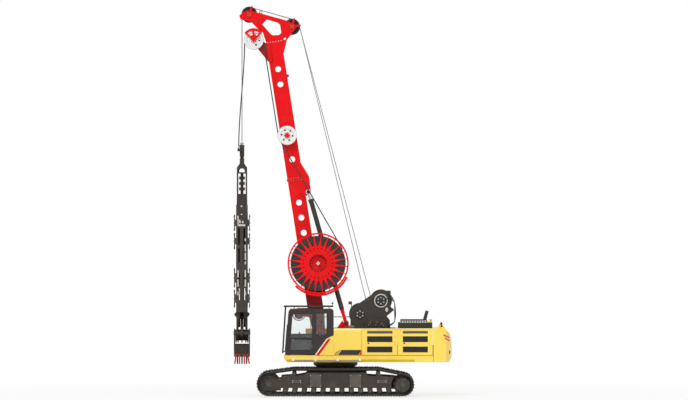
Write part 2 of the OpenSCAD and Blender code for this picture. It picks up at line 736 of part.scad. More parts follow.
module cab_interior() {
    mid_y = (cab_left + cab_right) / 2;
    wall_y = cab_right - cab_wall;
    color("black") {
        // Seat on its base, with side consoles and a display on a post
        cab_box(seat_base_shares, mid_y - seat_w / 2, mid_y + seat_w / 2);
        cab_box(cushion_shares, mid_y - seat_w / 2, mid_y + seat_w / 2);
        across(mid_y - seat_w * 0.45, mid_y + seat_w * 0.45)
            polygon(outline_of(back_shares, cab_front, cab_z, cab_l, cab_h));
        for (side = [-1, 1]) {
            y = mid_y + side * (seat_w + console_w) / 2;
            stick = [for (s = stick_shares) [cab_x(s[0]), y, cab_at(s[1])]];
            cab_box(console_shares, y - console_w / 2, y + console_w / 2);
            rod_between(stick[0], stick[1], stick_r);
            translate(stick[1]) sphere(2 * stick_r);
        }
        cab_box(post_corner_shares, wall_y - 2 * post_w, wall_y - post_w);
        cab_box(display_shares, wall_y - display_w - post_w / 3, wall_y - post_w / 3);
    }
}

guard_rise = 100;
guard_bars = 7;
guard_z = cab_top + guard_rise;
guard_ys = [cab_left + 3 * guard_r, cab_right - 3 * guard_r];
guard_out = 92;
guard_foot = [cab_front - guard_out, cab_z + cab_wall];
guard_head_x = cab_front + 1.2 * guard_r;
// Share of the roof's length, front to rear, at each pair of posts
post_shares = [0.12, 0.5, 0.9];
module roof_guard() {
    xs = [cab_front - 2 * guard_r, cab_rear - guard_r];
    roof_x = cab_front + cab_rake;
    color("dimgray") {
        for (y = guard_ys) rod_between([xs[0], y, guard_z], [xs[1], y, guard_z], guard_r);
        for (i = [0 : 9]) {
            x = xs[0] + (xs[1] - xs[0]) * i / 9;
            rod_between([x, guard_ys[0], guard_z], [x, guard_ys[1], guard_z], guard_r * 0.8);
        }
        for (share = post_shares) for (y = guard_ys) {
            x = roof_x + share * (cab_rear - roof_x);
            rod_between([x, y, cab_top], [x, y, guard_z], guard_r * 0.7);
        }
    }
}

// The bars lean, and end just under the roof guard's rails
module front_guard() {
    bar_r = guard_r * 0.7;
    lean = atan2(guard_head_x - guard_foot[0], guard_z - guard_foot[1]);
    head_z = guard_z - guard_r - bar_r * sin(lean) - fit_gap;
    rise = head_z - guard_foot[1];
    stay_z = guard_foot[1] + 3 * guard_r;
    color("dimgray") {
        for (i = [0 : guard_bars - 1]) {
            y = guard_ys[0] + (guard_ys[1] - guard_ys[0]) * i / (guard_bars - 1);
            rod_between([guard_foot[0], y, guard_foot[1]], [guard_foot[0] + rise * tan(lean), y, head_z], bar_r);
        }
        for (share = [0.02, 0.33, 0.66, 0.96]) {
            x = guard_foot[0] + rise * tan(lean) * share;
            z = guard_foot[1] + rise * share;
            rod_between([x, guard_ys[0], z], [x, guard_ys[1], z], guard_r * 0.55);
        }
        // Stays from the front guard to the cab
        for (y = guard_ys) rod_between([guard_foot[0], y, stay_z],
            [cab_front + cab_rake * (stay_z - guard_r - cab_z) / cab_h, y, stay_z],
            guard_r * 0.6);
    }
}

// Hinge of the cab door, [x, y]
cab_hinge_r = 11.7;
knuckle_l = 120;
cab_hinge = [door_xs[1] + 0.75 * run_gap, cab_left - cab_hinge_r - fit_gap];
module door_frame() {
    color("darkslategray") {
        difference() {
            across(cab_left, cab_left + cab_door_t) polygon(door_outline);
            across(cab_left - cab_wall, cab_left + cab_wall) polygon(door_window);
            across(cab_left - cab_wall, cab_left + cab_wall) polygon(door_low_window);
        }
        cab_box(handle_shares, cab_left - guard_r, cab_left);
        // Hinge knuckles beside the shell, with their leaves
        for (share = [0.12, 0.5, 0.85]) {
            z = door_zs[0] + share * (door_zs[1] - door_zs[0]);
            translate([cab_hinge[0], cab_hinge[1], z]) cylinder(r = cab_hinge_r, h = knuckle_l);
            box([cab_hinge[0] - knuckle_l / 2, cab_hinge[1], z], [cab_hinge[0], cab_left, z + knuckle_l]);
        }
    }
}

module door_glass() {
    mid = (cab_door_t - pane_t) / 2;
    color("lightblue") {
        across(cab_left + mid, cab_left + mid + pane_t) polygon(door_window);
        across(cab_left + mid, cab_left + mid + pane_t) polygon(door_low_window);
    }
}

// Side bodywork

// Diagonal front edge of the left panel, behind the cab
panel_nose = [[cab_x(rear_foot_shares[2][0]) + 2 * run_gap, deck_top],
    [cab_x(rear_foot_shares[1][0]) + 2 * run_gap, cab_at(rear_foot_shares[1][1])],
    [cab_rear + run_gap, cab_at(rear_foot_shares[0][1])]];

module side_panel_left() {
    color("gold") {
        across(-half_house, -half_house + panel_t) polygon(concat(panel_nose, [[cab_rear + run_gap, house_top],
            [door_x - door_gap, house_top], [door_x - door_gap, deck_top]]));
        // Wall behind the cab, and the post that the first door closes on
        box([cab_rear + run_gap, -half_house + panel_t, deck_top],
            [cab_rear + run_gap + panel_t, cab_right, house_top - panel_t]);
        box([door_x - 3 * panel_t, -half_house + panel_t, deck_top],
            [door_x - door_gap, -half_house + 4 * panel_t, house_top - panel_t]);
    }
}

tank_front = -1500;
tank_y = cyl_y + cyl_eye_w / 2 + winch_t + 6 * run_gap;
module side_panel_right() {
    inner = tank_y;
    color("gold") {
        difference() {
            box([tank_front, inner, deck_top], [door_x - door_gap, half_house, house_top - panel_t]);
            box([tank_front + panel_t, inner + panel_t, deck_top + panel_t],
                [door_x - door_gap - panel_t, half_house - panel_t, house_top - 2 * panel_t]);
        }
        // Tool box with steps in front of the tanks
        box([deck_front + 4 * panel_t, inner, deck_top], [tank_front, half_house, deck_top + 10 * panel_t]);
    }
}

cover_inner = cyl_y + cyl_eye_w / 2 + winch_t + 4 * run_gap;
module top_cover() {
    front = cab_rear + run_gap;
    cover_x = cyl_low[0] + 2 * cyl_eye_r;
    color("gold") difference() {
        box([front, -half_house, house_top - panel_t], [deck_rear, half_house, house_top]);
        box([front - panel_t, -cover_inner, house_top - 2 * panel_t], [cover_x, cover_inner, house_top + panel_t]);
        box([front - panel_t, -half_house - panel_t, house_top - 2 * panel_t],
            [door_x - door_gap, -half_house + panel_t, house_top + panel_t]);
    }
    // Bulkheads that carry the cover
    color("gold") for (wall = [[cover_x, tank_y], [deck_rear - 2 * panel_t, half_house - 4 * panel_t]])
        box([wall[0], -half_house + 4 * panel_t, deck_top], [wall[0] + panel_t, wall[1], house_top - panel_t]);
}

module engine() {
    x = (door_x + deck_rear - engine_l) / 2;
    color("dimgray") box([x, -engine_w / 2, deck_top], [x + engine_l, engine_w / 2, deck_top + engine_h]);
}

// Grilles of a door: share of its height, bottom and top
grille_shares = [[0.11, 0.34], [0.51, 0.74], [0.845, 0.95]];
slat_pitch = 52;
// Hinge pins of a side door: radius, and how far their axis lies inside the rear and outer faces
hinge_pin_r = 8;
hinge_in = 10;

module side_door(x0, x1, y0) {
    hinge_y = y0 < 0 ? y0 + hinge_in : y0 + panel_t - hinge_in;
    z0 = deck_top + door_gap;
    h = house_top - panel_t - door_gap - z0;
    inset = 0.145 * (x1 - x0);
    color("gold") difference() {
        box([x0, y0, z0], [x1, y0 + panel_t, z0 + h]);
        for (g = grille_shares) box([x0 + inset, y0 - panel_t, z0 + g[0] * h],
            [x1 - inset, y0 + 2 * panel_t, z0 + g[1] * h]);
    }
    // Pins that turn on the deck and under the cover
    color("gold") translate([x1 - hinge_in, hinge_y, deck_top + fit_gap])
        cylinder(r = hinge_pin_r, h = h + 2 * (door_gap - fit_gap));
    color("dimgray") for (g = grille_shares) {
        n = floor((g[1] - g[0]) * h / slat_pitch);
        for (i = [0 : n - 1]) {
            z = z0 + g[0] * h + (i + 0.5) * (g[1] - g[0]) * h / n;
            across(y0, y0 + panel_t) translate([x0 + inset, z - panel_t / 4]) square([x1 - x0 - 2 * inset, panel_t / 2]);
        }
    }
}

module side_door_left_front() {
    side_door(door_x, door_split_x - door_gap / 2, -half_house);
}

module side_door_left_rear() {
    side_door(door_split_x + door_gap / 2, deck_rear - door_gap, -half_house);
}

module side_door_right() {
    side_door(door_x, deck_rear - door_gap, half_house - panel_t);
}

hood_rail_h = 96;
hood_rail_shares = [0.074, 0.853];
hood_post_shares = [0.088, 0.823];
// Exhaust: place by share of the hood's length and half width, upright part, and its lean and height
pipe_shares = [0.7761, -0.487];
pipe_foot_h = 120;
pipe_lean = 104;
pipe_h = 490;
module hood() {
    l = hood_xs[1] - hood_xs[0];
    rail_z = hood_top + hood_rail_h;
    pipe_at = [hood_xs[0] + pipe_shares[0] * l, pipe_shares[1] * hood_w / 2, hood_top - panel_t / 2];
    color("dimgray") {
        difference() {
            box([hood_xs[0], -hood_w / 2, house_top], [hood_xs[1], hood_w / 2, hood_top]);
            box([hood_xs[0] + panel_t, panel_t - hood_w / 2, house_top - panel_t],
                [hood_xs[1] - panel_t, hood_w / 2 - panel_t, hood_top - panel_t]);
        }
        for (side = [-1, 1]) {
            y = side * (hood_w / 2 - 2 * guard_r);
            rod_between([hood_xs[0] + hood_rail_shares[0] * l, y, rail_z],
                [hood_xs[0] + hood_rail_shares[1] * l, y, rail_z], guard_r * 0.7);
            for (i = [0 : 4]) {
                x = hood_xs[0] + (hood_post_shares[0] + (hood_post_shares[1] - hood_post_shares[0]) * i / 4) * l;
                rod_between([x, y, hood_top - guard_r], [x, y, rail_z], guard_r * 0.6);
            }
        }
        rod_between(pipe_at, pipe_at + [0, 0, pipe_foot_h + panel_t], exhaust_r);
        rod_between(pipe_at + [0, 0, pipe_foot_h], pipe_at + [pipe_lean, 0, pipe_h], exhaust_r * 0.96);
    }
}

// Counterweight outline: share of its length, share of its height
weight_shares = [[0, 0], [0.827, 0], [0.96, 0.1], [1, 0.23], [0.969, 0.59], [0.874, 0.845], [0.62, 1], [0, 1]];
module counterweight() {
    color("gold") intersection() {
        across(-half_house, half_house)
            polygon(outline_of(weight_shares, deck_rear, deck_z, tail_l, house_top - deck_z));
        translate([slew_x, 0, 0]) cylinder(r = tail_x - slew_x, h = house_top + deck_z, $fn = 96);
    }
}

eye_r = eye_bore_r * 2;
module lift_eyes() {
    z = house_top + eye_rise;
    color("gold") both_sides() across(eye_y - eye_t / 2, eye_y + eye_t / 2) difference() {
        union() {
            polygon([[eye_x - 2 * eye_r, house_top], [eye_x + 2 * eye_r, house_top], [eye_x + eye_r, z], [eye_x - eye_r, z]]);
            translate([eye_x, z]) circle(eye_r);
        }
        translate([eye_x, z]) circle(eye_bore_r);
    }
}

// Winch plate: share of its length, share of its height
winch_x = 296;
winch_l = 1740;
winch_top = 4192;
winch_shares = [[0, 0], [0, 0.51], [0.034, 0.55], [0.09, 0.572], [0.588, 0.968], [0.65, 1], [0.926, 1], [0.926, 0.56],
    [1, 0.495], [0.99, 0.473], [0.832, 0.32], [0.906, 0.21], [0.914, 0]];
// Work lamp in front of the left plate: radius, and its height over the plate's front corner
lamp_r = 62;
lamp_rise = 250;
tie_shares = [[0.04, 0.054], [0.9, 0.973], [0.851, 0.081], [0.548, 0.134]];
module winch_frame() {
    h = winch_top - house_top;
    tie_y = winch_y - winch_t;
    color("dimgray") {
        both_sides() across(winch_y - winch_t, winch_y) difference() {
            polygon(outline_of(winch_shares, winch_x, house_top, winch_l, h));
            translate(front_drum) circle(drum_shaft_r + fit_gap);
            translate(rear_drum) circle(drum_shaft_r + fit_gap);
        }
        for (t = outline_of(tie_shares, winch_x, house_top, winch_l, h)) rod_y(t, winch_t, -tie_y, tie_y);
        translate([winch_x, winch_t / 2 - winch_y, house_top + winch_shares[1][1] * h]) {
            translate([winch_t, 0, -winch_t]) cylinder(r = winch_t * 0.4, h = lamp_rise);
            translate([-lamp_r, 0, lamp_rise]) rotate([0, 90, 0]) cylinder(r = lamp_r, h = 2 * lamp_r);
        }
    }
}

module drum(at) {
    color("dimgray") {
        rod_y(at, drum_r, winch_t + run_gap - winch_y, winch_y - winch_t - run_gap);
        for (side = [-1, 1]) {
            y = side * (winch_y - winch_t - run_gap - winch_t / 2);
            rod_y(at, drum_flange_r, y - winch_t / 2, y + winch_t / 2);
        }
        rod_y(at, drum_shaft_r, -winch_y - winch_t, winch_y + winch_t);
        for (side = [-1, 1]) {
            y = side * (winch_y + winch_t * 0.5 + fit_gap);
            rod_y(at, drum_shaft_r * 1.7, y - winch_t / 2, y + winch_t / 2);
        }
    }
}

module drum_front() {
    drum(front_drum);
}

module drum_rear() {
    drum(rear_drum);
}

rail_r = 22;
rail_in = 60;
rail_h = 420;
rail_end = 200;
// Rail along the deck's edge: height by share of the deck's depth; ends and first and last post by share of its length
edge_rail_share = 0.316;
edge_end_shares = [0.0505, 0.5175];
edge_post_shares = [0.0613, 0.5091];
module handrails() {
    y = half_house - rail_in;
    top = house_top + rail_h;
    edge_y = -half_house - 2 * rail_r;
    edge_z = deck_z + edge_rail_share * deck_h;
    deck_l = deck_rear - deck_front;
    color("dimgray") {
        rod_between([deck_front + edge_end_shares[0] * deck_l, edge_y, edge_z],
            [deck_front + edge_end_shares[1] * deck_l, edge_y, edge_z], rail_r);
        for (i = [0 : 3]) {
            x = deck_front + (edge_post_shares[0] + (edge_post_shares[1] - edge_post_shares[0]) * i / 3) * deck_l;
            rod_between([x, -half_house, edge_z], [x, edge_y, edge_z], rail_r * 0.8);
        }
        // Guard rail on the right tank
        for (post = [[tank_front + rail_end, house_top - panel_t], [door_x - rail_end, house_top]])
            rod_between([post[0], y, post[1]], [post[0], y, top], rail_r * 0.8);
        rod_between([tank_front + rail_end, y, top], [door_x - rail_end, y, top], rail_r * 0.9);
    }
}

// Boom, modelled upright along its own middle line

boom_y0 = half_boom_w - boom_plate;
// Swelling at the joint that carries the cylinders, by share of the boom's depth from the joint
bulge_shares = [[0.5, -1.187], [0.587, -1.187], [0.8885, -0.9164], [0.9098, 0], [0.9098, 0.064], [0.5, 1.051]];
bulge = outline_of(bulge_shares, 0, joint_s, boom_depth, boom_depth);
foot_s = 700;
// Openings in the sides: lowest in the lower section, above its joint, and lowest of the upper pair
lower_hole_s = 3526;
joint_hole_rise = 802;
upper_hole_s = 10149;
// Flare under the head
flare_l = 530;
flare_w = 220;
// Bolted flanges of the two joints
flange_t = 40;
flange_out = 36;

// Hollow box with its sides holed
module boom_box(s0, s1, holes) {
    difference() {
        box([-half_boom_d, -half_boom_w, s0], [half_boom_d, half_boom_w, s1]);
        box([boom_plate - half_boom_d, -boom_y0, s0 + boom_plate], [half_boom_d - boom_plate, boom_y0, s1 - boom_plate]);
        for (s = holes) rod_y([0, s], boom_hole_r, -boom_w, boom_w);
    }
}

// A flange round the boom's box, between two heights
module boom_flange(s0, s1) {
    difference() {
        box([-half_boom_d - flange_out, -half_boom_w - flange_out, s0], [half_boom_d, half_boom_w + flange_out, s1]);
        box([boom_plate - half_boom_d, -boom_y0, s0 - flange_t], [half_boom_d * 2, boom_y0, s1 + flange_t]);
    }
}

module boom_lower() {
    color("red") in_boom() {
        boom_box(foot_s, joint_s, [for (i = [0 : 3]) lower_hole_s + i * hole_pitch]);
        boom_flange(joint_s - flange_t, joint_s);
        // Foot plates round the pin
        both_sides() across(boom_y0 - boom_plate, half_boom_w) {
            polygon([[-half_boom_d, foot_s + boom_plate], [-foot_lug_r, 0], [foot_lug_r, 0],
                [half_boom_d, foot_s + boom_plate]]);
            circle(foot_lug_r);
        }
        // Swelling under the joint
        both_sides() across(boom_y0 - boom_plate, half_boom_w)
            polygon([bulge[0], bulge[1], bulge[2], bulge[3], [half_boom_d, joint_s]]);
        // Foot pin and cylinder pin
        rod_y([0, 0], foot_pin_r, -half_boom_w - run_gap - foot_plate_t, half_boom_w + run_gap + foot_plate_t);
        rod_y(cyl_high, cyl_pin_r, -cyl_y - cyl_eye_w / 2 - 2 * run_gap, cyl_y + cyl_eye_w / 2 + 2 * run_gap);
    }
}

module boom_upper() {
    color("red") in_boom() {
        boom_box(joint_s, head_s, [joint_s + joint_hole_rise, upper_hole_s, upper_hole_s + hole_pitch]);
        boom_flange(joint_s, joint_s + flange_t);
        both_sides() across(boom_y0 - boom_plate, half_boom_w) {
            polygon([[half_boom_d, joint_s], bulge[3], bulge[4], bulge[5]]);
            polygon([[half_boom_d, head_s - flare_l], [half_boom_d + flare_w, head_s], [half_boom_d, head_s]]);
        }
    }
}

head_plate_t = 30;
head_half_w = half_boom_w;
// Head plate, its opening and its tie tubes, by share of the boom's depth from the head's joint
head_shares = [[-0.5, 0], [0.861, 0], [1.561, 0.67], [1.172, 1.202], [-1.005, 2.18], [-1.425, 2.292], [-1.785, 2.195],
    [-1.975, 2.039], [-1.931, 1.82], [-1.243, 1.507], [-0.949, 1.089], [-0.62, 0.739], [-0.5, 0.016]];
head_hole_shares = [[-0.582, 1.27], [-0.228, 1.541], [0.433, 1.231], [0.572, 1.057], [0.575, 0.525], [0.423, 0.403],
    [0.01, 0.434], [-0.092, 0.51]];
head_tie_shares = [[0.656, 0.393], [-0.689, 1.049], [0, 1.582]];
head_tie_r = 45;
// Rope keepers: sheave and the angle of its arm
keeper_w = 70;
keeper_r = 14;
keepers = [[front_sheave, 63], [rear_sheave, 65], [rear_sheave, 1]];
module boom_head() {
    inner = head_half_w - head_plate_t;
    keeper_at = sheave_r + keeper_r + run_gap;
    color("red") in_boom() {
        both_sides() across(inner, head_half_w) {
            difference() {
                polygon(outline_of(head_shares, 0, head_s, boom_depth, boom_depth));
                polygon(outline_of(head_hole_shares, 0, head_s, boom_depth, boom_depth));
            }
            // Arms out to the keepers
            for (k = keepers) translate(k[0]) rotate(k[1]) polygon([[0, -keeper_w], [keeper_at + keeper_r, -keeper_w / 3],
                [keeper_at + keeper_r, keeper_w / 3], [0, keeper_w]]);
        }
        for (k = keepers) rod_y(on_circle(k[0], keeper_at, k[1]), keeper_r, -inner, inner);
        // Base plate and tie tubes
        box([-half_boom_d, -inner, head_s], [half_boom_d + flare_w - boom_plate, inner, head_s + head_plate_t]);
        for (tie = outline_of(head_tie_shares, 0, head_s, boom_depth, boom_depth)) rod_y(tie, head_tie_r, -inner, inner);
        // Pins of the sheaves
        for (p = [front_sheave, rear_sheave])
            rod_y(p, sheave_pin_r, -head_half_w - head_plate_t, head_half_w + head_plate_t);
    }
}

// Half section of a grooved wheel: [radius, across], with its bore; floor_w is half the groove's flat floor
module grooved_wheel(r, w, groove, floor_w, bore, hub_r, web_t) {
    rotate_extrude() polygon([[bore, -w / 2], [hub_r, -w / 2], [hub_r, -web_t / 2], [r - 2.4 * groove, -web_t / 2],
        [r - 1.8 * groove, -w / 2], [r, -w / 2], [r, 0.3 * groove - w / 2], [r - groove, -floor_w],
        [r - groove, floor_w], [r, w / 2 - 0.3 * groove], [r, w / 2], [r - 1.8 * groove, w / 2],
        [r - 2.4 * groove, web_t / 2], [hub_r, web_t / 2], [hub_r, w / 2], [bore, w / 2]]);
}

module sheave_pair(at) {
    groove = sheave_r - rope_line_r + rope_r + fit_gap;
    hub_y = head_half_w - head_plate_t - run_gap;
    color("gray") in_boom() {
        for (side = [-1, 1]) translate([at[0], side * rope_y, at[1]]) rotate([90, 0, 0])
            grooved_wheel(sheave_r, sheave_w, groove, rope_r, sheave_pin_r + fit_gap, sheave_pin_r * 1.6, sheave_w / 3);
        translate([at[0], 0, at[1]]) rotate([90, 0, 0]) difference() {
            cylinder(r = sheave_pin_r * 1.6, h = 2 * hub_y, center = true);
            cylinder(r = sheave_pin_r + fit_gap, h = 3 * hub_y, center = true);
        }
    }
}

module sheaves_front() {
    sheave_pair(front_sheave);
}

module sheaves_rear() {
    sheave_pair(rear_sheave);
}

// Ropes: from each drum up to the rear sheave, over it to the front sheave

rope_arc_end = 150;
// How far the front drum's rope stops short of its drum, which it would run into as the boom luffs
rope_lead = 100;
module rope_arc(at, a, b, y) {
    translate([at[0], y, at[1]]) rotate([90, 0, 0]) rotate([0, 0, a])
        rotate_extrude(angle = b - a) translate([rope_line_r, 0]) circle(rope_r, $fn = 16);
}

// A straight rope, a little short of its bends
module rope_line(p, q, y) {
    a = toward(p, q, fit_gap);
    b = toward(q, p, fit_gap);
    rod_between([a[0], y, a[1]], [b[0], y, b[1]], rope_r, $fn = 16);
}

module boom_ropes() {
    over = touch_angle(rear_sheave_at, rope_line_r, front_sheave_at, rope_line_r);
    wound_r = drum_r + rope_r + fit_gap;
    color("silver") {
        for (lead = [[front_drum, wound_r, -rope_y, rope_lead], [rear_drum, -wound_r, rope_y, 0]]) {
            back = touch_angle(lead[0], lead[1], rear_sheave_at, rope_line_r);
            low = on_circle(lead[0], lead[1], back);
            high = on_circle(rear_sheave_at, rope_line_r, back);
            rope_line(toward(low, high, lead[3]), high, lead[2]);
            rope_arc(rear_sheave_at, back, over, lead[2]);
            rope_line(on_circle(rear_sheave_at, rope_line_r, over), on_circle(front_sheave_at, rope_line_r, over), lead[2]);
            rope_arc(front_sheave_at, over, rope_arc_end, lead[2]);
        }
    }
}

// Hose reel, on the boom's left side

reel_rim_w = 44;
reel_hole_r = 26;
// Half width of a spoke at its root and tip
spoke_ws = [36, 14];
module reel_side(y0) {
    across(y0, y0 + reel_t) {
        difference() {
            circle(reel_r);
            circle(reel_r - reel_rim_w);
        }
        difference() {
            circle(reel_plate_r);
            circle(reel_hub_r);
            for (i = [0 : spoke_count - 1])
                translate(on_circle([0, 0], reel_plate_r - 2.7 * reel_hole_r, (i + 0.5) * 360 / spoke_count))
                    circle(reel_hole_r, $fn = 24);
        }
        for (i = [0 : spoke_count - 1]) rotate(i * 360 / spoke_count) polygon([
            [reel_plate_r - spoke_ws[0] / 2, -spoke_ws[0]], [reel_r - reel_rim_w / 2, -spoke_ws[1]],
            [reel_r - reel_rim_w / 2, spoke_ws[1]], [reel_plate_r - spoke_ws[0] / 2, spoke_ws[0]]]);
    }
}

module hose_reel() {
    color("red") in_boom() translate([reel_at[0], 0, reel_at[1]]) {
        reel_side(reel_ys[0] - reel_t);
        reel_side(reel_ys[1]);
        // Hub drum with its end wall
        difference() {
            rod_y([0, 0], reel_hub_r + reel_t, reel_ys[1], reel_ys[0]);
            rod_y([0, 0], reel_hub_r, reel_ys[1] - reel_t, reel_ys[0] - reel_t * 6);
            rod_y([0, 0], reel_axle_r + fit_gap, reel_ys[1] - reel_t, reel_ys[0] + reel_t);
        }
    }
}

module reel_hose() {
    color("black") in_boom() translate([reel_at[0], 0, reel_at[1]]) difference() {
        rod_y([0, 0], pack_r, reel_ys[1] + reel_t, reel_ys[0] - reel_t);
        rod_y([0, 0], reel_hub_r + reel_t, reel_ys[1], reel_ys[0]);
    }
}

// Cradle under the reel, as a ring piece between two angles, and the arms that carry it and the axle
cradle_angles = [216, 326];
cradle_w = 70;
// Arm and post by share of the reel's radius, from its axle; the arm's foot lies on the boom
arm_shares = [[-0.524, 0.25], [0.167, 0.1], [0.167, -0.1], [-0.524, -0.25]];
post_foot_shares = [-0.15, 0.1];
strut_shares = [-0.2, 0.15];
module reel_cradle() {
    inner = reel_r + 5 * run_gap;
    outer = inner + cradle_w;
    arm_y = reel_ys[0] + run_gap + reel_t;
    color("firebrick") in_boom() translate([reel_at[0], 0, reel_at[1]]) {
        across(reel_ys[1], arm_y) polygon(concat(arc_points([0, 0], outer, cradle_angles[0], cradle_angles[1], 16),
            arc_points([0, 0], inner, cradle_angles[1], cradle_angles[0], 16)));
        // Arms from the boom's side
        across(arm_y, arm_y + 2 * reel_t) {
            polygon(outline_of(arm_shares, 0, 0, reel_r, reel_r));
            polygon([[post_foot_shares[0] * reel_r, 0], [post_foot_shares[1] * reel_r, 0],
                [post_foot_shares[1] * reel_r, -outer], [post_foot_shares[0] * reel_r, -outer + run_gap]]);
        }
        for (share = strut_shares) box([-reel_at[0] - half_boom_d + 2 * boom_plate, arm_y, share * reel_r],
            [half_boom_d - reel_at[0] - 2 * boom_plate, -half_boom_w, share * reel_r + foot_plate_t]);
        // Axle
        rod_y([0, 0], reel_axle_r, reel_ys[1] + 4 * reel_t, arm_y);
    }
}

wheel_holes = 6;
module hose_wheel(at, r, y) {
    bore = reel_axle_r * 0.6 + fit_gap;
    groove = wheel_groove + hose_r + fit_gap;
    floor_w = hose_pitch / 2 + hose_r + run_gap / 2;
    color("white") in_boom() translate([at[0], y, at[1]]) difference() {
        rotate([90, 0, 0]) grooved_wheel(r, wheel_w, groove, floor_w, bore, r * 0.3, wheel_w / 4);
        for (i = [0 : wheel_holes - 1]) rod_y(on_circle([0, 0], r * 0.56, i * 360 / wheel_holes + 45),
            r * 0.1, -wheel_w, wheel_w);
    }
}

module hose_wheel_mid() {
    hose_wheel(mid_wheel, mid_wheel_r, mid_wheel_y);
}

module hose_wheel_top() {
    hose_wheel(top_wheel, top_wheel_r, top_wheel_y);
}

// Arm of the top wheel and its block on the boom, by share of the wheel's radius from its axle
wheel_arm_shares = [[1.09, -2.4075], [1.49, -2.4075], [1.49, -0.7725], [0.225, 0.15], [-0.225, 0.15], [-0.225, -0.15]];
wheel_block_shares = [[1.19, -2.1725], [1.49, -0.9225]];
// Guard over the top wheel: end angles, and the windows in its outer plate
guard_angles = [33, 136];
guard_windows = [[44, 77], [93, 126]];
window_shares = [0.5, 0.9];
guard_strip = 40;
module guard_sector() {
    difference() {
        polygon(concat([on_circle(top_wheel, top_wheel_r * 0.2, 280)], arc_points(top_wheel,
            top_wheel_r + guard_strip + 2 * run_gap, guard_angles[0], guard_angles[1], 12)));
        for (w = guard_windows) polygon(concat(arc_points(top_wheel, window_shares[1] * top_wheel_r, w[0], w[1], 6),
            arc_points(top_wheel, window_shares[0] * top_wheel_r, w[1], w[0], 4)));
    }
}

module wheel_brackets() {
    pin_r = reel_axle_r * 0.6;
    gap_y = wheel_w / 2 + run_gap;
    top_in = top_wheel_y + gap_y;
    top_out = top_wheel_y - gap_y;
    guard_in = top_wheel_r + 2.5 * run_gap;
    block = outline_of(wheel_block_shares, top_wheel[0], top_wheel[1], top_wheel_r, top_wheel_r);
    color("firebrick") in_boom() {
        // Stub axle of the middle wheel
        rod_y(mid_wheel, pin_r, mid_wheel_y - gap_y, -half_boom_w);
        rod_y(mid_wheel, pin_r * 2, mid_wheel_y + gap_y, -half_boom_w);
        rod_y(mid_wheel, pin_r * 1.6, mid_wheel_y - gap_y - reel_t, mid_wheel_y - gap_y);
        // Arm of the top wheel, from the boom's side to its axle, with the guard over the wheel
        across(top_in, top_in + reel_t) {
            polygon(outline_of(wheel_arm_shares, top_wheel[0], top_wheel[1], top_wheel_r, top_wheel_r));
            guard_sector();
        }
        across(top_out - reel_t, top_out) guard_sector();
        box([block[0][0], top_in, block[0][1]], [block[1][0], -half_boom_w, block[1][1]]);
        rod_y(top_wheel, pin_r, top_out, top_in);
        rod_y(top_wheel, pin_r * 1.4, top_out - 2 * reel_t, top_out);
        across(top_out, top_in) polygon(concat(arc_points(top_wheel, guard_in, guard_angles[0] + 5, guard_angles[1] - 5, 10),
            arc_points(top_wheel, guard_in + guard_strip, guard_angles[1] - 5, guard_angles[0] + 5, 10)));
    }
}

// The point a short way from p towards q
function toward(p, q, l) = p + (q - p) * l / norm(q - p);
// A straight hose stops this short of its bend, because the two lie at a slight angle
function hose_end(p, q, off) = hose_r * abs(off) / norm(q - p) + fit_gap;
// A straight hose from p to q in [x, z], running from y0 to y1, with the named ends cut short
module hose_line(p, q, y0, y1, ends) {
    a = [p[0], y0, p[1]];
    b = [q[0], y1, q[1]];
    l = hose_end(a, b, y1 - y0);
    rod_between(toward(a, b, ends[0] * l), toward(b, a, ends[1] * l), hose_r, $fn = 24);
}

// Hoses: reel, left of the middle wheel, right of the top wheel, over it
module boom_hoses() {
    mid_r = mid_wheel_r - wheel_groove;
    top_r = top_wheel_r - wheel_groove;
    coil_r = pack_r + hose_r + fit_gap;
    first = touch_angle(reel_at, coil_r, mid_wheel, -mid_r);
    second = touch_angle(mid_wheel, -mid_r, top_wheel, top_r);
    reel_y = (reel_ys[0] + reel_ys[1]) / 2;
    color("darkslategray") in_boom() for (side = [-0.5, 0.5]) {
        y0 = reel_y + side * hose_pitch;
        y1 = mid_wheel_y + side * hose_pitch;
        y2 = top_wheel_y + side * hose_pitch;
        from_reel = on_circle(reel_at, coil_r, first);
        to_mid = on_circle(mid_wheel, -mid_r, first);
        from_mid = on_circle(mid_wheel, -mid_r, second);
        to_top = on_circle(top_wheel, top_r, second);
        hose_line(from_reel, to_mid, y0, y1, [0, 1]);
        hose_line(from_mid, to_top, y1, y2, [1, 1]);
        translate([mid_wheel[0], y1, mid_wheel[1]]) rotate([90, 0, 0]) rotate([0, 0, second + 180])
            rotate_extrude(angle = first - second) translate([mid_r, 0]) circle(hose_r, $fn = 24);
        translate([top_wheel[0], y2, top_wheel[1]]) rotate([90, 0, 0]) rotate([0, 0, second])
            rotate_extrude(angle = 160 - second) translate([top_r, 0]) circle(hose_r, $fn = 24);
    }
}

// Luffing cylinders, modelled upright along their own line

barrel_end = cyl_len - rod_show;
rod_len = 1500;
// Neck of the barrel, its end cap, the free length behind the rod, and the rod eye's play for its drift
neck_l = 600;
cap_l = 120;
bore_free = 200;
rod_drift = 6;
module luff_barrels() {
    color("dimgray") both_sides() in_cylinder() translate([0, cyl_y, 0]) difference() {
        union() {
            rod_y([0, 0], cyl_eye_r, -cyl_eye_w / 2, cyl_eye_w / 2);
            cylinder(r = cyl_eye_w * 0.46, h = neck_l + run_gap);
            translate([0, 0, neck_l]) cylinder(r = barrel_r, h = barrel_end - neck_l);
            translate([0, 0, barrel_end - cap_l]) cylinder(r = barrel_r * 1.12, h = cap_l);
        }
        rod_y([0, 0], cyl_pin_r + fit_gap, -cyl_eye_w, cyl_eye_w);
        translate([0, 0, cyl_len - rod_len - bore_free]) cylinder(r = rod_r + fit_gap, h = rod_len + bore_free);
    }
}

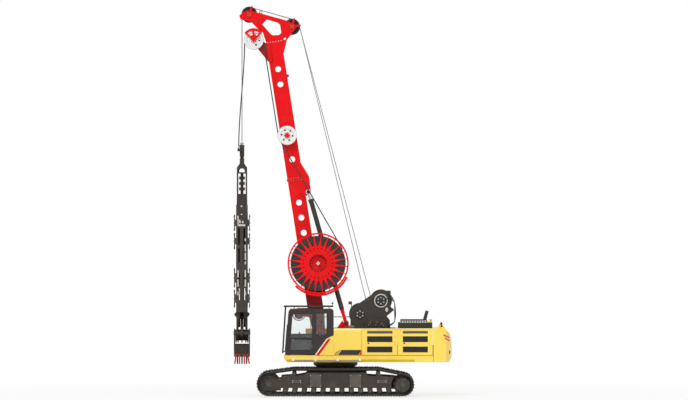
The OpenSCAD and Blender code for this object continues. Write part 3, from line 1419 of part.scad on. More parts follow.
module luff_rods() {
    color("silver") both_sides() in_cylinder() translate([0, cyl_y, cyl_len]) difference() {
        union() {
            rod_y([0, 0], cyl_eye_r, -cyl_eye_w / 2, cyl_eye_w / 2);
            translate([0, 0, -rod_len]) cylinder(r = rod_r, h = rod_len);
        }
        // The eye's bore is wide enough for its drift against the pin
        rod_y([0, 0], cyl_pin_r + rod_drift, -cyl_eye_w, cyl_eye_w);
    }
}

// Hanging grab

block_t = 180;
block_w = 480;
swivel_r = 70;
// Rope sockets: length, and how far they reach into the block; length of the swivel's stem in the block
socket_l = 160;
socket_in = 20;
swivel_in = 200;
block_shares = [[-0.5, 1], [0.5, 1], [0.5, 0.5], [0.25, 0], [-0.25, 0], [-0.5, 0.5]];
module hoist_ropes() {
    top = front_sheave_at[1];
    color("silver") in_grab() for (side = [-1, 1]) translate([0, side * rope_y, rope_block_zs[1]]) {
        cylinder(r = rope_r, h = top - rope_block_zs[1] - fit_gap, $fn = 16);
        translate([0, 0, -socket_in]) cylinder(r = 3 * rope_r, h = socket_l, $fn = 24);
    }
}

// Hanging hose points: [ahead of the ropes, across, height]
hose_foot_y = -230;
hose_foot = [-block_t / 2 - hose_r - 2 * run_gap, hose_foot_y, rope_block_zs[1] - socket_l];
module hanging_hoses() {
    top_at = boom_point(top_wheel);
    start = [top_at[0] - top_wheel_r + wheel_groove, top_at[1] - 0.4 * top_wheel_r];
    color("darkslategray") for (side = [-0.5, 0.5]) {
        p = [start[0], top_wheel_y + side * hose_pitch, start[1]];
        q = [grab_x + hose_foot[0], hose_foot[1] + side * hose_pitch, hose_foot[2]];
        rod_between(p, toward(q, p, hose_end(p, q, norm([p[0] - q[0], p[1] - q[1]]))), hose_r, $fn = 24);
    }
}

module rope_block() {
    h = rope_block_zs[1] - socket_in - rope_block_zs[0];
    color("dimgray") in_grab() {
        difference() {
            along_x(-block_t / 2, block_t / 2) polygon(outline_of(block_shares, 0, rope_block_zs[0], block_w, h));
            translate([0, 0, rope_block_zs[0] - socket_in]) cylinder(r = swivel_r + fit_gap, h = swivel_in + socket_in);
        }
        // Bracket that the hoses end in
        box([hose_foot[0] - hose_pitch, hose_foot[1] - 2 * hose_pitch, hose_foot[2] - 0.75 * socket_l],
            [-block_t / 6, hose_foot[1] + 2 * hose_pitch, hose_foot[2]]);
    }
}

head_zs = [8012, 8932];
arch_z = 9276;
shoulder_z = 9120;
head_eye_r = 110;
head_half = 205;
head_deep = 300;
head_leg = 56;
damper_r = 60;
ring_shares = [0.2043, 0.4435, 0.6826];
module grab_head() {
    top = rope_block_zs[0];
    color("dimgray") in_grab() {
        // Swivel stem and second block
        translate([0, 0, arch_z]) cylinder(r = swivel_r, h = top - arch_z + swivel_in - socket_in);
        box([-block_t / 2, -block_w / 3, arch_z - socket_in], [block_t / 2, block_w / 3, top - 6.5 * run_gap]);
        // Arch down to the open frame
        across(-head_deep / 2, head_deep / 2) difference() {
            polygon([[-head_half, head_zs[1]], [-head_half, shoulder_z], [-block_t / 2, arch_z], [block_t / 2, arch_z],
                [head_half, shoulder_z], [head_half, head_zs[1]]]);
            translate([0, head_zs[1] + 0.7 * head_leg]) circle(head_eye_r);
        }
        // Open frame on four legs, with its damper
        for (z = [head_zs[0], head_zs[1] - head_leg])
            box([-head_half, -head_deep, z], [head_half, head_deep, z + head_leg]);
        for (x = [-head_half, head_half - head_leg]) for (y = [-head_deep, head_deep - head_leg])
            box([x, y, head_zs[0]], [x + head_leg, y + head_leg, head_zs[1]]);
        translate([0, 0, head_zs[0]]) cylinder(r = damper_r, h = head_zs[1] - head_zs[0]);
        for (s = ring_shares) translate([0, 0, head_zs[0] + s * (head_zs[1] - head_zs[0])])
            cylinder(r = 2 * damper_r, h = 2 * damper_r);
        // Braces that spread out to the guide frame
        for (side = [-1, 1]) along_x(-head_half, head_half) polygon([[side * 2 * damper_r, head_zs[0]],
            [side * head_deep, head_zs[0]], [side * grab_w * 0.36, grab_zs[1]], [side * grab_w * 0.26, grab_zs[1]]]);
    }
}

// Guide frame: end columns, middle column and cross beams
column_w = 240;
middle_w = 760;
grab_h = grab_zs[1] - grab_zs[0];
// Cross beams, slots in the end columns and guide plates: share of the frame's height, bottom and top
beam_shares = [[0, 0.0807], [0.3856, 0.4418], [0.8124, 0.8452], [0.9296, 1]];
slot_shares = [[0.1041, 0.2214], [0.2542, 0.3621], [0.4653, 0.5966], [0.6295, 0.7842]];
guide_shares = [[0.0385, 0.2073], [0.2261, 0.4071], [0.5844, 0.7373], [0.7561, 0.9099]];
// Lower end of the jaw cylinder and top of its well
well_shares = [0.2214, 0.7842];
function grab_at(share) = grab_zs[0] + share * grab_h;
carrier_t = 80;
pin_lug_r = 120;
// Slot that the links swing through, half its width and half its length
link_slot = [70, 720];
// Fingers that push the soil out of the opening jaws: share of half the room between a jaw's sides, and tip height
finger_shares = [-0.83, -0.56, 0, 0.56, 0.83];
finger_w = 60;
finger_t = 90;
comb_z = 2200;
finger_z = 2100;
module fingers() {
    room = jaw_t / 2 - jaw_plate;
    half = finger_shares[4] * room + finger_w / 2;
    box([-half, -finger_t / 2, comb_z], [half, finger_t / 2, jaw_pin[1] + carrier_t]);
    across(-finger_t / 2, finger_t / 2) for (s = finger_shares) translate([s * room, 0])
        polygon([[-finger_w / 2, comb_z], [-finger_w / 4, finger_z], [finger_w / 4, finger_z], [finger_w / 2, comb_z]]);
}

module grab_frame() {
    half_t = grab_t / 2;
    half_w = grab_w / 2;
    below = grab_zs[0] - socket_in;
    color("dimgray") in_grab() difference() {
        union() {
            for (low = [-half_w, half_w - column_w])
                box([-half_t, low, grab_zs[0]], [half_t, low + column_w, grab_zs[1]]);
            box([-half_t, -middle_w / 2, grab_zs[0]], [half_t, middle_w / 2, grab_zs[1]]);
            for (s = beam_shares) box([-half_t, -half_w, grab_at(s[0])], [half_t, half_w, grab_at(s[1])]);
            // Jaw carrier
            for (x = [-half_t, half_t - carrier_t]) along_x(x, x + carrier_t) difference() {
                union() {
                    polygon([[-middle_w * 0.7, grab_zs[0] + carrier_t / 2], [middle_w * 0.7, grab_zs[0] + carrier_t / 2],
                        [jaw_pin[0] + pin_lug_r, jaw_pin[1]], [-jaw_pin[0] - pin_lug_r, jaw_pin[1]]]);
                    for (side = [-1, 1]) translate([side * jaw_pin[0], jaw_pin[1]]) circle(pin_lug_r);
                }
                for (side = [-1, 1]) translate([side * jaw_pin[0], jaw_pin[1]]) circle(jaw_pin_r + fit_gap);
            }
        }
        // Well for the jaw cylinder and the crosshead
        box([-half_t + carrier_t, -middle_w / 2 + carrier_t, below],
            [half_t - carrier_t, middle_w / 2 - carrier_t, grab_at(well_shares[1])]);
        box([-link_slot[0], -link_slot[1], below], [link_slot[0], link_slot[1], grab_at(slot_shares[0][0])]);
        for (s = slot_shares) for (x = [-half_t * 0.62, half_t * 0.34])
            box([x, -half_w - socket_in, grab_at(s[0])], [x + half_t * 0.28, half_w + socket_in, grab_at(s[1])]);
    }
    color("dimgray") in_grab() fingers();
    // Jaw pins
    color("gray") in_grab() for (side = [-1, 1])
        rod_x([side * jaw_pin[0], jaw_pin[1]], jaw_pin_r, -jaw_t / 2, jaw_t / 2);
}

guide_plate = 16;
guide_foot = [80, 200];
module guide_plates() {
    inner = guide_t / 2 - guide_plate;
    color("dimgray") in_grab() for (s = guide_shares) for (end = [0, 180]) rotate(end) {
        box([inner, -grab_w * 0.46, grab_at(s[0])], [guide_t / 2, grab_w * 0.46, grab_at(s[1])]);
        for (y = [-grab_w * 0.44, grab_w * 0.44 - guide_foot[0]]) box([grab_t / 2, y, grab_at(s[0]) + guide_foot[1]],
            [inner, y + guide_foot[0], grab_at(s[1]) - guide_foot[1]]);
    }
}

piston_r = jaw_cyl_r * 0.55;
piston_l = 1900;
piston_bore_l = 1600;
module jaw_cylinder() {
    low = grab_at(well_shares[0]);
    color("gray") in_grab() difference() {
        translate([0, 0, low]) cylinder(r = jaw_cyl_r - fit_gap, h = grab_at(well_shares[1]) - low);
        translate([0, 0, low - jaw_cyl_r]) cylinder(r = piston_r + fit_gap, h = piston_bore_l + jaw_cyl_r);
    }
}

// Crosshead: half thickness, half width, depth below and above the link pins
cross_half = [110, 260];
cross_zs = [90, 200];
cross_eye_r = 85;
module crosshead() {
    fork = [link_t / 2 + run_gap, cross_eye_r + 3 * run_gap];
    color("gray") in_grab() {
        translate([0, 0, cross_pin[1] + cross_eye_r]) cylinder(r = piston_r, h = piston_l + cross_eye_r);
        difference() {
            box([-cross_half[0], -cross_half[1], cross_pin[1] - cross_zs[0]],
                [cross_half[0], cross_half[1], cross_pin[1] + cross_zs[1]]);
            for (side = [-1, 1]) box([-fork[0], side * cross_pin[0] - fork[1], cross_pin[1] - 2 * cross_zs[0]],
                [fork[0], side * cross_pin[0] + fork[1], cross_pin[1] + 1.2 * fork[1]]);
        }
        for (side = [-1, 1]) rod_x([side * cross_pin[0], cross_pin[1]], link_pin_r, -cross_half[0], cross_half[0]);
    }
}

jaw_eye_r = 135;
link_half_w = 50;
link_t = 100;
link_drift = 30;
module grab_link(side) {
    p = [side * cross_pin[0], cross_pin[1]];
    q = [side * jaw_link_pin[0], jaw_link_pin[1]];
    d = (q - p) / norm(q - p);
    n = [-d[1], d[0]] * link_half_w;
    // Radius and bore of each eye; the jaw's end is bored wide, because the link drifts a little against its pin
    p_eye = [cross_eye_r, link_pin_r + fit_gap];
    q_eye = [jaw_eye_r, link_pin_r + link_drift];
    a = p + d * (p_eye[0] + p_eye[1]) / 2;
    b = q - d * (q_eye[0] + q_eye[1]) / 2;
    color("gray") in_grab() {
        for (eye = [[p, p_eye], [q, q_eye]]) difference() {
            rod_x(eye[0], eye[1][0], -link_t / 2, link_t / 2);
            rod_x(eye[0], eye[1][1], -link_t, link_t);
        }
        along_x(-link_t / 2, link_t / 2) polygon([a + n, b + n, b - n, a - n]);
    }
}

module link_near() {
    grab_link(-1);
}

module link_far() {
    grab_link(1);
}

// A jaw in [y, z], for the far side: the shell is an arc from the lip up to its outer edge
jaw_centre = [80, jaw_pin[1]];
jaw_r = 1010;
jaw_lip_y = 12;
jaw_edge = -31;
lip_angle = -acos((jaw_lip_y - jaw_centre[0]) / jaw_r);
link_lug_r = 110;
// Inner edge of a jaw's side, up from the lip
lip_edge = [40, 420];
function jaw_sector(a, b) = concat([jaw_centre], arc_points(jaw_centre, 2 * jaw_r, a, b, 4));
module jaw() {
    half_t = jaw_t / 2;
    side_in = half_t - jaw_plate;
    color("dimgray") in_grab() {
        along_x(-half_t, half_t) intersection() {
            translate(jaw_centre) difference() {
                circle(jaw_r, $fn = 96);
                circle(jaw_r - jaw_plate, $fn = 96);
            }
            polygon(jaw_sector(lip_angle, jaw_edge));
        }
        // Sides, with the bores for the jaw's pin and the lugs of the link's pin
        for (x = [-half_t, side_in]) along_x(x, x + jaw_plate) difference() {
            union() {
                polygon(concat([[jaw_lip_y, jaw_lip_z + lip_edge[0]], [jaw_lip_y, jaw_lip_z + lip_edge[1]],
                    jaw_pin + [-link_lug_r, 0], jaw_pin + [link_lug_r, link_lug_r / 2], jaw_link_pin + [0, link_lug_r],
                    jaw_link_pin + [link_lug_r, 0]],
                    arc_points(jaw_centre, jaw_r - jaw_plate / 2, jaw_edge, lip_angle, 12)));
                translate(jaw_pin) circle(pin_lug_r);
                translate(jaw_link_pin) circle(link_lug_r);
            }
            translate(jaw_pin) circle(jaw_pin_r + fit_gap);
        }
        // Link pin from side to side, with its collars
        rod_x(jaw_link_pin, link_pin_r, -half_t, half_t);
        for (x = [-side_in, link_t / 2 + run_gap])
            rod_x(jaw_link_pin, 1.6 * link_pin_r, x, x + side_in - link_t / 2 - run_gap);
    }
}

module jaw_far() {
    jaw();
}

module jaw_near() {
    mirror([0, 1, 0]) jaw();
}

// Teeth: slim bars that run up a jaw's back from their tips; each as [share of half the jaw's thickness, splay]
near_teeth_shares = [[-0.78, 9], [-0.31, 0], [0.31, 0], [0.78, -9]];
far_teeth_shares = [[-0.586, 0], [0, 0], [0.586, 0]];
tooth_w = 56;
tooth_t = 52;
tooth_top = -59;
tooth_root = -74;
module tooth_shape() {
    tip_y = jaw_lip_y + fit_gap;
    intersection() {
        translate(jaw_centre) circle(jaw_r + tooth_t, $fn = 360);
        polygon(jaw_sector(lip_angle, tooth_top));
    }
    polygon([[tip_y, tooth_tip_z], [tip_y + tooth_t, tooth_tip_z], on_circle(jaw_centre, jaw_r + tooth_t, tooth_root),
        on_circle(jaw_centre, jaw_r / 2, tooth_root), [tip_y, jaw_lip_z]]);
}

module teeth(shares) {
    root = [0, jaw_lip_y, jaw_lip_z];
    difference() {
        for (s = shares) translate([s[0] * jaw_t / 2, 0, 0]) translate(root) rotate([0, s[1], 0]) translate(-root)
            along_x(-tooth_w / 2, tooth_w / 2) tooth_shape();
        rod_x(jaw_centre, jaw_r, -jaw_t, jaw_t, $fn = 360);
        box([-jaw_t, -jaw_r, 0], [jaw_t, jaw_lip_y, jaw_pin[1]]);
    }
}

module teeth_far() {
    color("dimgray") in_grab() teeth(far_teeth_shares);
}

module teeth_near() {
    color("red") in_grab() mirror([0, 1, 0]) teeth(near_teeth_shares);
}

car_body();
slew_ring();
track_frames();
tracks();
idlers();
sprockets();
bottom_rollers();
carrier_rollers();
deck_frame();
boom_foot_bracket();
cab_shell();
cab_glass();
cab_interior();
roof_guard();
front_guard();
side_panel_left();
side_panel_right();
top_cover();
engine();
hood();
counterweight();
lift_eyes();
winch_frame();
handrails();
door_frame();
door_glass();
side_door_left_front();
side_door_left_rear();
side_door_right();
drum_front();
drum_rear();
boom_lower();
boom_upper();
boom_head();
reel_cradle();
wheel_brackets();
boom_hoses();
boom_ropes();
hose_reel();
reel_hose();
hose_wheel_mid();
hose_wheel_top();
sheaves_front();
sheaves_rear();
luff_barrels();
luff_rods();
hoist_ropes();
hanging_hoses();
rope_block();
grab_head();
grab_frame();
guide_plates();
jaw_cylinder();
crosshead();
link_near();
link_far();
jaw_near();
jaw_far();
teeth_near();
teeth_far();
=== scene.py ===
"""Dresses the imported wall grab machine: paints, ropes, hoses, bolts, grilles, cab fittings, stage and camera."""
import json
import math

import bmesh
import bpy
from mathutils import Matrix, Vector

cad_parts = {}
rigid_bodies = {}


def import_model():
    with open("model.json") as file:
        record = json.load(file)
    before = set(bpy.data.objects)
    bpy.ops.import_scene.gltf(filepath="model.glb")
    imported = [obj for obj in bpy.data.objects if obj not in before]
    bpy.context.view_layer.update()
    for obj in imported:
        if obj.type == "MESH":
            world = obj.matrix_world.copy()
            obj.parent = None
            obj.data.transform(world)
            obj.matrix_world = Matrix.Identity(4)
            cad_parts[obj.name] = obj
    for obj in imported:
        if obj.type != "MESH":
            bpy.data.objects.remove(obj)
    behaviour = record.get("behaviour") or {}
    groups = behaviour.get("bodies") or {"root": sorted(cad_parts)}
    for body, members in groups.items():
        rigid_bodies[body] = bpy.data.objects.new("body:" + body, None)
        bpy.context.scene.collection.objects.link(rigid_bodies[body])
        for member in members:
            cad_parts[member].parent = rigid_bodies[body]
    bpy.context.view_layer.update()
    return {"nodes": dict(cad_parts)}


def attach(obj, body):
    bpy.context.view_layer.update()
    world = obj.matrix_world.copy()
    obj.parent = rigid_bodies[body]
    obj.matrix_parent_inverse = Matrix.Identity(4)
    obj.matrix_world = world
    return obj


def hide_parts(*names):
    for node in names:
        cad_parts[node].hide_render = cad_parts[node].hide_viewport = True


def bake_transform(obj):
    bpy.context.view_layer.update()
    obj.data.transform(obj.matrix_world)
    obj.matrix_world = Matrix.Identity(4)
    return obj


bl_info = {
    "name": "Wall grab machine dressing",
    "version": (1, 0, 0),
    "blender": (4, 5, 0),
    "location": "View3D > Sidebar > Wall grab",
    "description": "Paints and dresses the crawler wall grab, and sets its studio stage",
    "category": "Object",
}

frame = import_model()
NODES = frame["nodes"]
SIDES = (-1, 1)

# Places repeated from the part's source, in metres. Flat points are (x, z).
BOOM_FOOT = Vector((-0.93, 2.42))
BOOM_LEAN = math.radians(8.9)
ROPE_LINE_R = 0.296
ROPE_R = 0.016
ROPE_Y = 0.150
FRONT_DRUM = Vector((0.68, 3.26))
REAR_DRUM = Vector((1.516, 3.80))
DRUMS = {"front_drum": FRONT_DRUM, "rear_drum": REAR_DRUM}
DRUM_R = 0.345
HOSE_R = 0.022
HOSE_PITCH = 0.050
REEL = (0.383, 2.847)
REEL_R = 1.2
PACK_R = 1.1
REEL_SIDES = (-0.680, -1.060)
MID_WHEEL, MID_WHEEL_Y, MID_WHEEL_R = (-0.051, 8.089), -0.560, 0.385
TOP_WHEEL, TOP_WHEEL_Y, TOP_WHEEL_R = (-0.776, 12.069), -0.480, 0.400
WHEEL_GROOVE = 0.036
MID_WHEEL_LINE, TOP_WHEEL_LINE = MID_WHEEL_R - WHEEL_GROOVE, TOP_WHEEL_R - WHEEL_GROOVE
HALF_WHEEL = 0.075
# Hose wheels: body, place on the boom, place across, radius
WHEELS = (("mid_wheel", MID_WHEEL, MID_WHEEL_Y, MID_WHEEL_R), ("top_wheel", TOP_WHEEL, TOP_WHEEL_Y, TOP_WHEEL_R))
BLOCK_TOP = 10.044
HALF_HOUSE = 1.5
HOUSE_TOP = 2.704


def on_circle(centre, radius, angle):
    return Vector((centre[0] + radius * math.cos(angle), centre[1] + radius * math.sin(angle)))


def circle(centre, radius, count, start=0.0):
    """Flat points evenly round a centre."""
    return [on_circle(centre, radius, start + math.tau * k / count) for k in range(count)]


def hoop(centre, radius, y, count):
    """A closed ring of points at one place across."""
    ring = [(p[0], y, p[1]) for p in circle(centre, radius, count)]
    return ring + ring[:1]


def rect(x0, z0, x1, z1):
    return [(x0, z0), (x1, z0), (x1, z1), (x0, z1)]


def turned(outline, centre, angle):
    """A flat outline turned about its origin and moved to a centre."""
    c, s = math.cos(angle), math.sin(angle)
    return [(centre[0] + u * c - v * s, centre[1] + u * s + v * c) for u, v in outline]


def eased(t):
    return t * t * (3 - 2 * t)


def boom_at(point):
    """A point along the boom, (behind its middle line, along it), as a flat (x, z) point."""
    return Vector(turned([point], BOOM_FOOT, BOOM_LEAN)[0])


def boom_point(behind, y, along):
    p = boom_at((behind, along))
    return Vector((p[0], y, p[1]))


def touch_angle(c1, r1, c2, r2):
    """Angle of the outward normal of the line that touches two circles."""
    d = Vector(c2) - Vector(c1)
    return math.atan2(d[1], d[0]) - math.acos((r1 - r2) / d.length)


FRONT_SHEAVE = boom_at((-0.798, 13.093))
REAR_SHEAVE = boom_at((0.811, 12.351))
GRAB_X = FRONT_SHEAVE[0] - ROPE_LINE_R


# Settings that a user would change

def shade(red, green, blue):
    """A colour written as 0 to 255 screen values, in Blender's linear values."""
    def linear(v):
        v /= 255
        return v / 12.92 if v <= 0.04045 else ((v + 0.055) / 1.055) ** 2.4
    return linear(red), linear(green), linear(blue)


def colour(name, description, *screen):
    return bpy.props.FloatVectorProperty(name=name, description=description, size=3, subtype="COLOR",
                                         min=0, max=1, default=shade(*screen))


def length(name, description, default):
    return bpy.props.FloatProperty(name=name, description=description, default=default, min=0, unit="LENGTH")


def strength(name, description, default):
    return bpy.props.FloatProperty(name=name, description=description, default=default, min=0)


class WallGrabPaint(bpy.types.PropertyGroup):
    """Colours of the machine; the deck ochre and bracket red also stand for painted shade."""
    body_yellow: colour("Body yellow", "Bodywork and counterweight", 250, 216, 98)
    # Ochre: painted shade along the deck frame's lower edge, and also the colour of the panel seams and the filler
    # cap
    deck_ochre: colour("Deck ochre", "Strip along the deck's edge", 217, 180, 0)
    boom_red: colour("Boom red", "Boom, reel and stripes", 228, 10, 18)
    # Darker red: the colour of the reel's ribs and bolts and the head's pin rings, and painted shade on the boom's
    # lower part and the far parts of the wheel brackets and reel cradle
    bracket_red: colour("Bracket red", "Brackets and boom foot", 172, 34, 38)
    grab_grey: colour("Grab grey", "Grab, winch and undercarriage", 62, 57, 53)
    cab_grey: colour("Cab grey", "Cab shell and door", 58, 53, 50)
    wheel_white: colour("Wheel white", "Hose wheels", 228, 229, 228)
    trim_black: colour("Trim black", "Grilles and plates", 26, 26, 27)
    hose_black: colour("Hose black", "Hydraulic hoses", 30, 34, 33)
    steel_grey: colour("Steel grey", "Bare steel", 176, 177, 180)
    dust: colour("Dust", "Dry soil on low parts", 150, 136, 116)


class WallGrabDetail(bpy.types.PropertyGroup):
    """Sizes of the small pieces."""
    bolt_r: length("Bolt head", "Radius of a large bolt head", 0.022)
    bolt_h: length("Bolt height", "Height of a large bolt head", 0.014)
    rope_lay: length("Rope lay", "Length of one turn of the rope's strands", 0.22)
    seal_w: length("Seal width", "Width of the window seals", 0.022)
    plate_t: length("Plate thickness", "Thickness of stripes and plates on the panels", 0.003)


class WallGrabStage(bpy.types.PropertyGroup):
    """Stage and camera."""
    camera_x: bpy.props.FloatProperty(name="Camera X", description="Camera's place along the machine",
                                      default=0.04, unit="LENGTH")
    camera_z: bpy.props.FloatProperty(name="Camera height", description="Camera's height", default=7.82,
                                      unit="LENGTH")
    camera_far: length("Camera distance", "Camera's distance from the machine's middle", 306.0)
    frame_w: length("Frame width", "Width that the picture takes in", 27.52)
    sky: strength("Soft light", "Strength of the light from all around", 0.5)
    key: strength("Key light", "Strength of the main lamp", 1.5)
    fill: strength("Fill light", "Strength of the two other lamps", 0.6)


# Materials

def operation(kind, swapped=False, clamp=False):
    """A method of Wire that adds one Math node."""
    def run(self, other=0.0):
        first, second = (other, self) if swapped else (self, other)
        return self.finish.node("ShaderNodeMath", {"operation": kind, "use_clamp": clamp}, {0: first, 1: second})
    return run


class Wire:
    """One socket of a material's nodes, with Python's arithmetic."""

    def __init__(self, finish, socket):
        self.finish, self.socket = finish, socket

    __add__, __radd__ = operation("ADD"), operation("ADD", True)
    __sub__, __rsub__ = operation("SUBTRACT"), operation("SUBTRACT", True)
    __mul__, __gt__ = operation("MULTIPLY"), operation("GREATER_THAN")
    sine, clamped = operation("SINE"), operation("ADD", clamp=True)


class Finish:
    """A material built from nodes around one Principled shader."""

    def __init__(self, name):
        self.material = bpy.data.materials.new(name)
        self.material.use_nodes = True
        self.tree = self.material.node_tree
        self.shader = self.tree.nodes["Principled BSDF"]

    def node(self, kind, settings=None, inputs=None, out=0):
        made = self.tree.nodes.new(kind)
        for key, value in (settings or {}).items():
            setattr(made, key, value)
        for key, value in (inputs or {}).items():
            self._feed(made.inputs[key], value)
        return Wire(self, made.outputs[out])

    def _feed(self, socket, value):
        if isinstance(value, Wire):
            self.tree.links.new(value.socket, socket)
        elif socket.type == "RGBA" and len(value) == 3:
            socket.default_value = (*value, 1)
        else:
            socket.default_value = value

    def set(self, **inputs):
        for key, value in inputs.items():
            self._feed(self.shader.inputs[key.replace("_", " ")], value)
        return self

    def place(self):
        return self.node("ShaderNodeTexCoord", out="Object")

    def axis(self, name):
        """One axis of the object's own coordinates."""
        return self.node("ShaderNodeSeparateXYZ", None, {0: self.place()}, out=name)

    def along(self, name):
        """A tube's length (X) or turn (Y), from its UV map."""
        uv = self.node("ShaderNodeUVMap", {"uv_map": "along"})
        return self.node("ShaderNodeSeparateXYZ", None, {0: uv}, out=name)

    def noise(self, scale, detail=4.0, rough=0.55, stretch=(1, 1, 1)):
        at = self.node("ShaderNodeMapping", None, {"Vector": self.place(), "Scale": stretch})
        return self.node("ShaderNodeTexNoise", None,
                         {"Vector": at, "Scale": scale, "Detail": detail, "Roughness": rough})

    def between(self, value, low, high):
        """0 below low, 1 above high."""
        return self.node("ShaderNodeMapRange", {"interpolation_type": "SMOOTHSTEP"},
                         {0: value, 1: low, 2: high, 3: 0.0, 4: 1.0})

    def mix(self, factor, first, second):
        return self.node("ShaderNodeMix", {"data_type": "RGBA"}, {0: factor, 6: first, 7: second}, out=2)

    def bump(self, value, strength, distance):
        self.set(Normal=self.node("ShaderNodeBump", None,
                                  {"Height": value, "Strength": strength, "Distance": distance}))
        return self


def scaled(tone, by):
    return tuple(min(1.0, c * by) for c in tone)


def paint_finish(name, tone, dust, rough, dust_top, dust_most, chips=0.0, second=None):
    """Sprayed paint: slow colour drift, dust that thins out upwards, faint orange peel and a few chips.

    second is (colour, axis, value): the colour past that value of an axis; a second paint on the luffing cylinders,
    and the lit red against painted shade on the boom's foot, wheel brackets and reel cradle."""
    f = Finish(name)
    drift = f.noise(0.55, 5)
    grime = f.noise(2.6, 7, 0.62)
    streak = f.noise(5.0, 4, 0.6, (3.0, 3.0, 0.35))

    def drifting(one):
        return f.mix(f.between(drift, 0.3, 0.72), scaled(one, 0.94), scaled(one, 1.04))

    tone_now = drifting(tone)
    if second:
        other, axis, value = second
        # Past the given value the second colour takes over; the table below uses this for a second paint and for
        # painted shade
        tone_now = f.mix(f.axis(axis) > value, tone_now, drifting(other))
    low = 1.0 - f.between(f.axis("Z"), 0.15, dust_top)
    film = (f.between(grime, 0.42, 0.78) * (low * dust_most + 0.03)
            + f.between(streak, 0.55, 0.85) * 0.05).clamped()
    tone_now = f.mix(film, tone_now, dust)
    if chips:
        chip = f.between(f.noise(26.0, 6, 0.7), 0.70, 0.74) * chips
        tone_now = f.mix(chip, tone_now, scaled(tone, 0.45))
    f.set(Base_Color=tone_now, Roughness=(rough + film * 0.5 + (drift - 0.5) * 0.12).clamped())
    f.set(Coat_Weight=0.03, Coat_Roughness=0.18, Specular_IOR_Level=0.14)
    return f.bump(f.noise(140.0, 2) * 0.5 + grime * 0.5, 0.10, 0.004).material


def track_finish(paint):
    """Cast shoes and links: dark scale, dry soil in the low places and rubbed bright spots."""
    f = Finish("track_steel")
    scale = f.noise(3.0, 8, 0.65)
    soil = f.between(f.noise(6.5, 6, 0.6), 0.5, 0.72)
    rub = f.between(f.noise(18.0, 5, 0.6), 0.58, 0.7)
    tone = f.mix(scale, shade(40, 37, 35), shade(72, 67, 62))
    tone = f.mix(soil * 0.24, tone, paint.dust)
    tone = f.mix(rub * 0.3, tone, shade(128, 124, 120))
    f.set(Base_Color=tone, Roughness=(0.72 - rub * 0.25).clamped(), Metallic=(rub * 0.5 + 0.2).clamped())
    return f.bump(scale * 0.7 + f.noise(60.0, 4) * 0.3, 0.35, 0.01).material


def steel_finish(name, tone, rough, stretch):
    """Machined steel with lines along one way."""
    f = Finish(name)
    lines = f.noise(90.0, 3, 0.5, stretch)
    smear = f.noise(4.0, 5)
    f.set(Base_Color=f.mix(smear, scaled(tone, 0.86), scaled(tone, 1.05)), Metallic=0.9,
          Roughness=(rough + (lines - 0.5) * 0.18 + (smear - 0.5) * 0.15).clamped())
    return f.bump(lines, 0.08, 0.002).material


def rope_finish(lay):
    """Steel rope: strands that wind round, from the tube's own length and turn."""
    f = Finish("wire_rope")
    strand = ((f.along("X") * (1.0 / lay) + f.along("Y")) * (math.tau * 6)).sine() * 0.5 + 0.5
    grease = f.noise(3.0, 5)
    tone = f.mix(strand, shade(92, 92, 92), shade(188, 189, 190))
    f.set(Base_Color=f.mix(f.between(grease, 0.5, 0.8) * 0.4, tone, shade(66, 62, 58)), Metallic=0.75,
          Roughness=(0.34 + grease * 0.3).clamped())
    return f.bump(strand, 0.6, 0.006).material


def hose_finish(paint):
    """Rubber hose with a wrapped cover."""
    f = Finish("hose_rubber")
    wrap = (f.along("X") * (math.tau / 0.045)).sine() * 0.5 + 0.5
    dust = f.noise(7.0, 6)
    f.set(Base_Color=f.mix(f.between(dust, 0.5, 0.85) * 0.3, paint.hose_black, paint.dust),
          Roughness=(0.5 + dust * 0.25).clamped())
    return f.bump(wrap * 0.6 + dust * 0.4, 0.25, 0.004).material


def coil_finish(paint):
    """Wound hose on the reel, seen edge on."""
    f = Finish("wound_hose")
    dust = f.noise(9.0, 6)
    f.set(Base_Color=f.mix(f.between(dust, 0.5, 0.85) * 0.25, paint.hose_black, paint.dust),
          Roughness=(0.48 + dust * 0.3).clamped())
    return f.bump(f.noise(70.0, 3), 0.15, 0.004).material


def glass_finish():
    f = Finish("cab_glass")
    smear = f.noise(3.5, 5)
    f.set(Base_Color=shade(246, 250, 250), Roughness=(0.02 + f.between(smear, 0.55, 0.8) * 0.06).clamped())
    f.set(Transmission_Weight=0.96, IOR=1.08, Specular_IOR_Level=0.4)
    return f.material


def plastic_finish(name, tone, rough):
    """Moulded plastic or rubber with a fine grain."""
    f = Finish(name)
    haze = f.noise(6.0, 5)
    f.set(Base_Color=f.mix(haze, scaled(tone, 0.85), scaled(tone, 1.2)), Roughness=(rough + haze * 0.15).clamped())
    return f.bump(f.noise(260.0, 2), 0.2, 0.001).material


def cloth_finish():
    """Woven seat cover, from crossing waves on the seat's own coordinates."""
    f = Finish("seat_cloth")
    weave = ((f.axis("X") + f.axis("Z")) * 1600.0).sine() * (f.axis("Y") * 1600.0).sine() * 0.5 + 0.5
    worn = f.noise(8.0, 5)
    tone = f.mix(weave, shade(30, 30, 32), shade(58, 58, 61))
    f.set(Base_Color=f.mix(f.between(worn, 0.55, 0.8) * 0.3, tone, shade(84, 82, 80)), Roughness=0.9,
          Sheen_Weight=0.25)
    return f.bump(weave, 0.3, 0.001).material


def lamp_finish():
    f = Finish("lamp_lens")
    ribs = (f.axis("Z") * 420.0).sine() * 0.5 + 0.5
    f.set(Base_Color=f.mix(ribs, shade(196, 200, 204), shade(240, 242, 244)),
          Roughness=(0.1 + ribs * 0.1).clamped())
    return f.bump(ribs, 0.2, 0.002).material


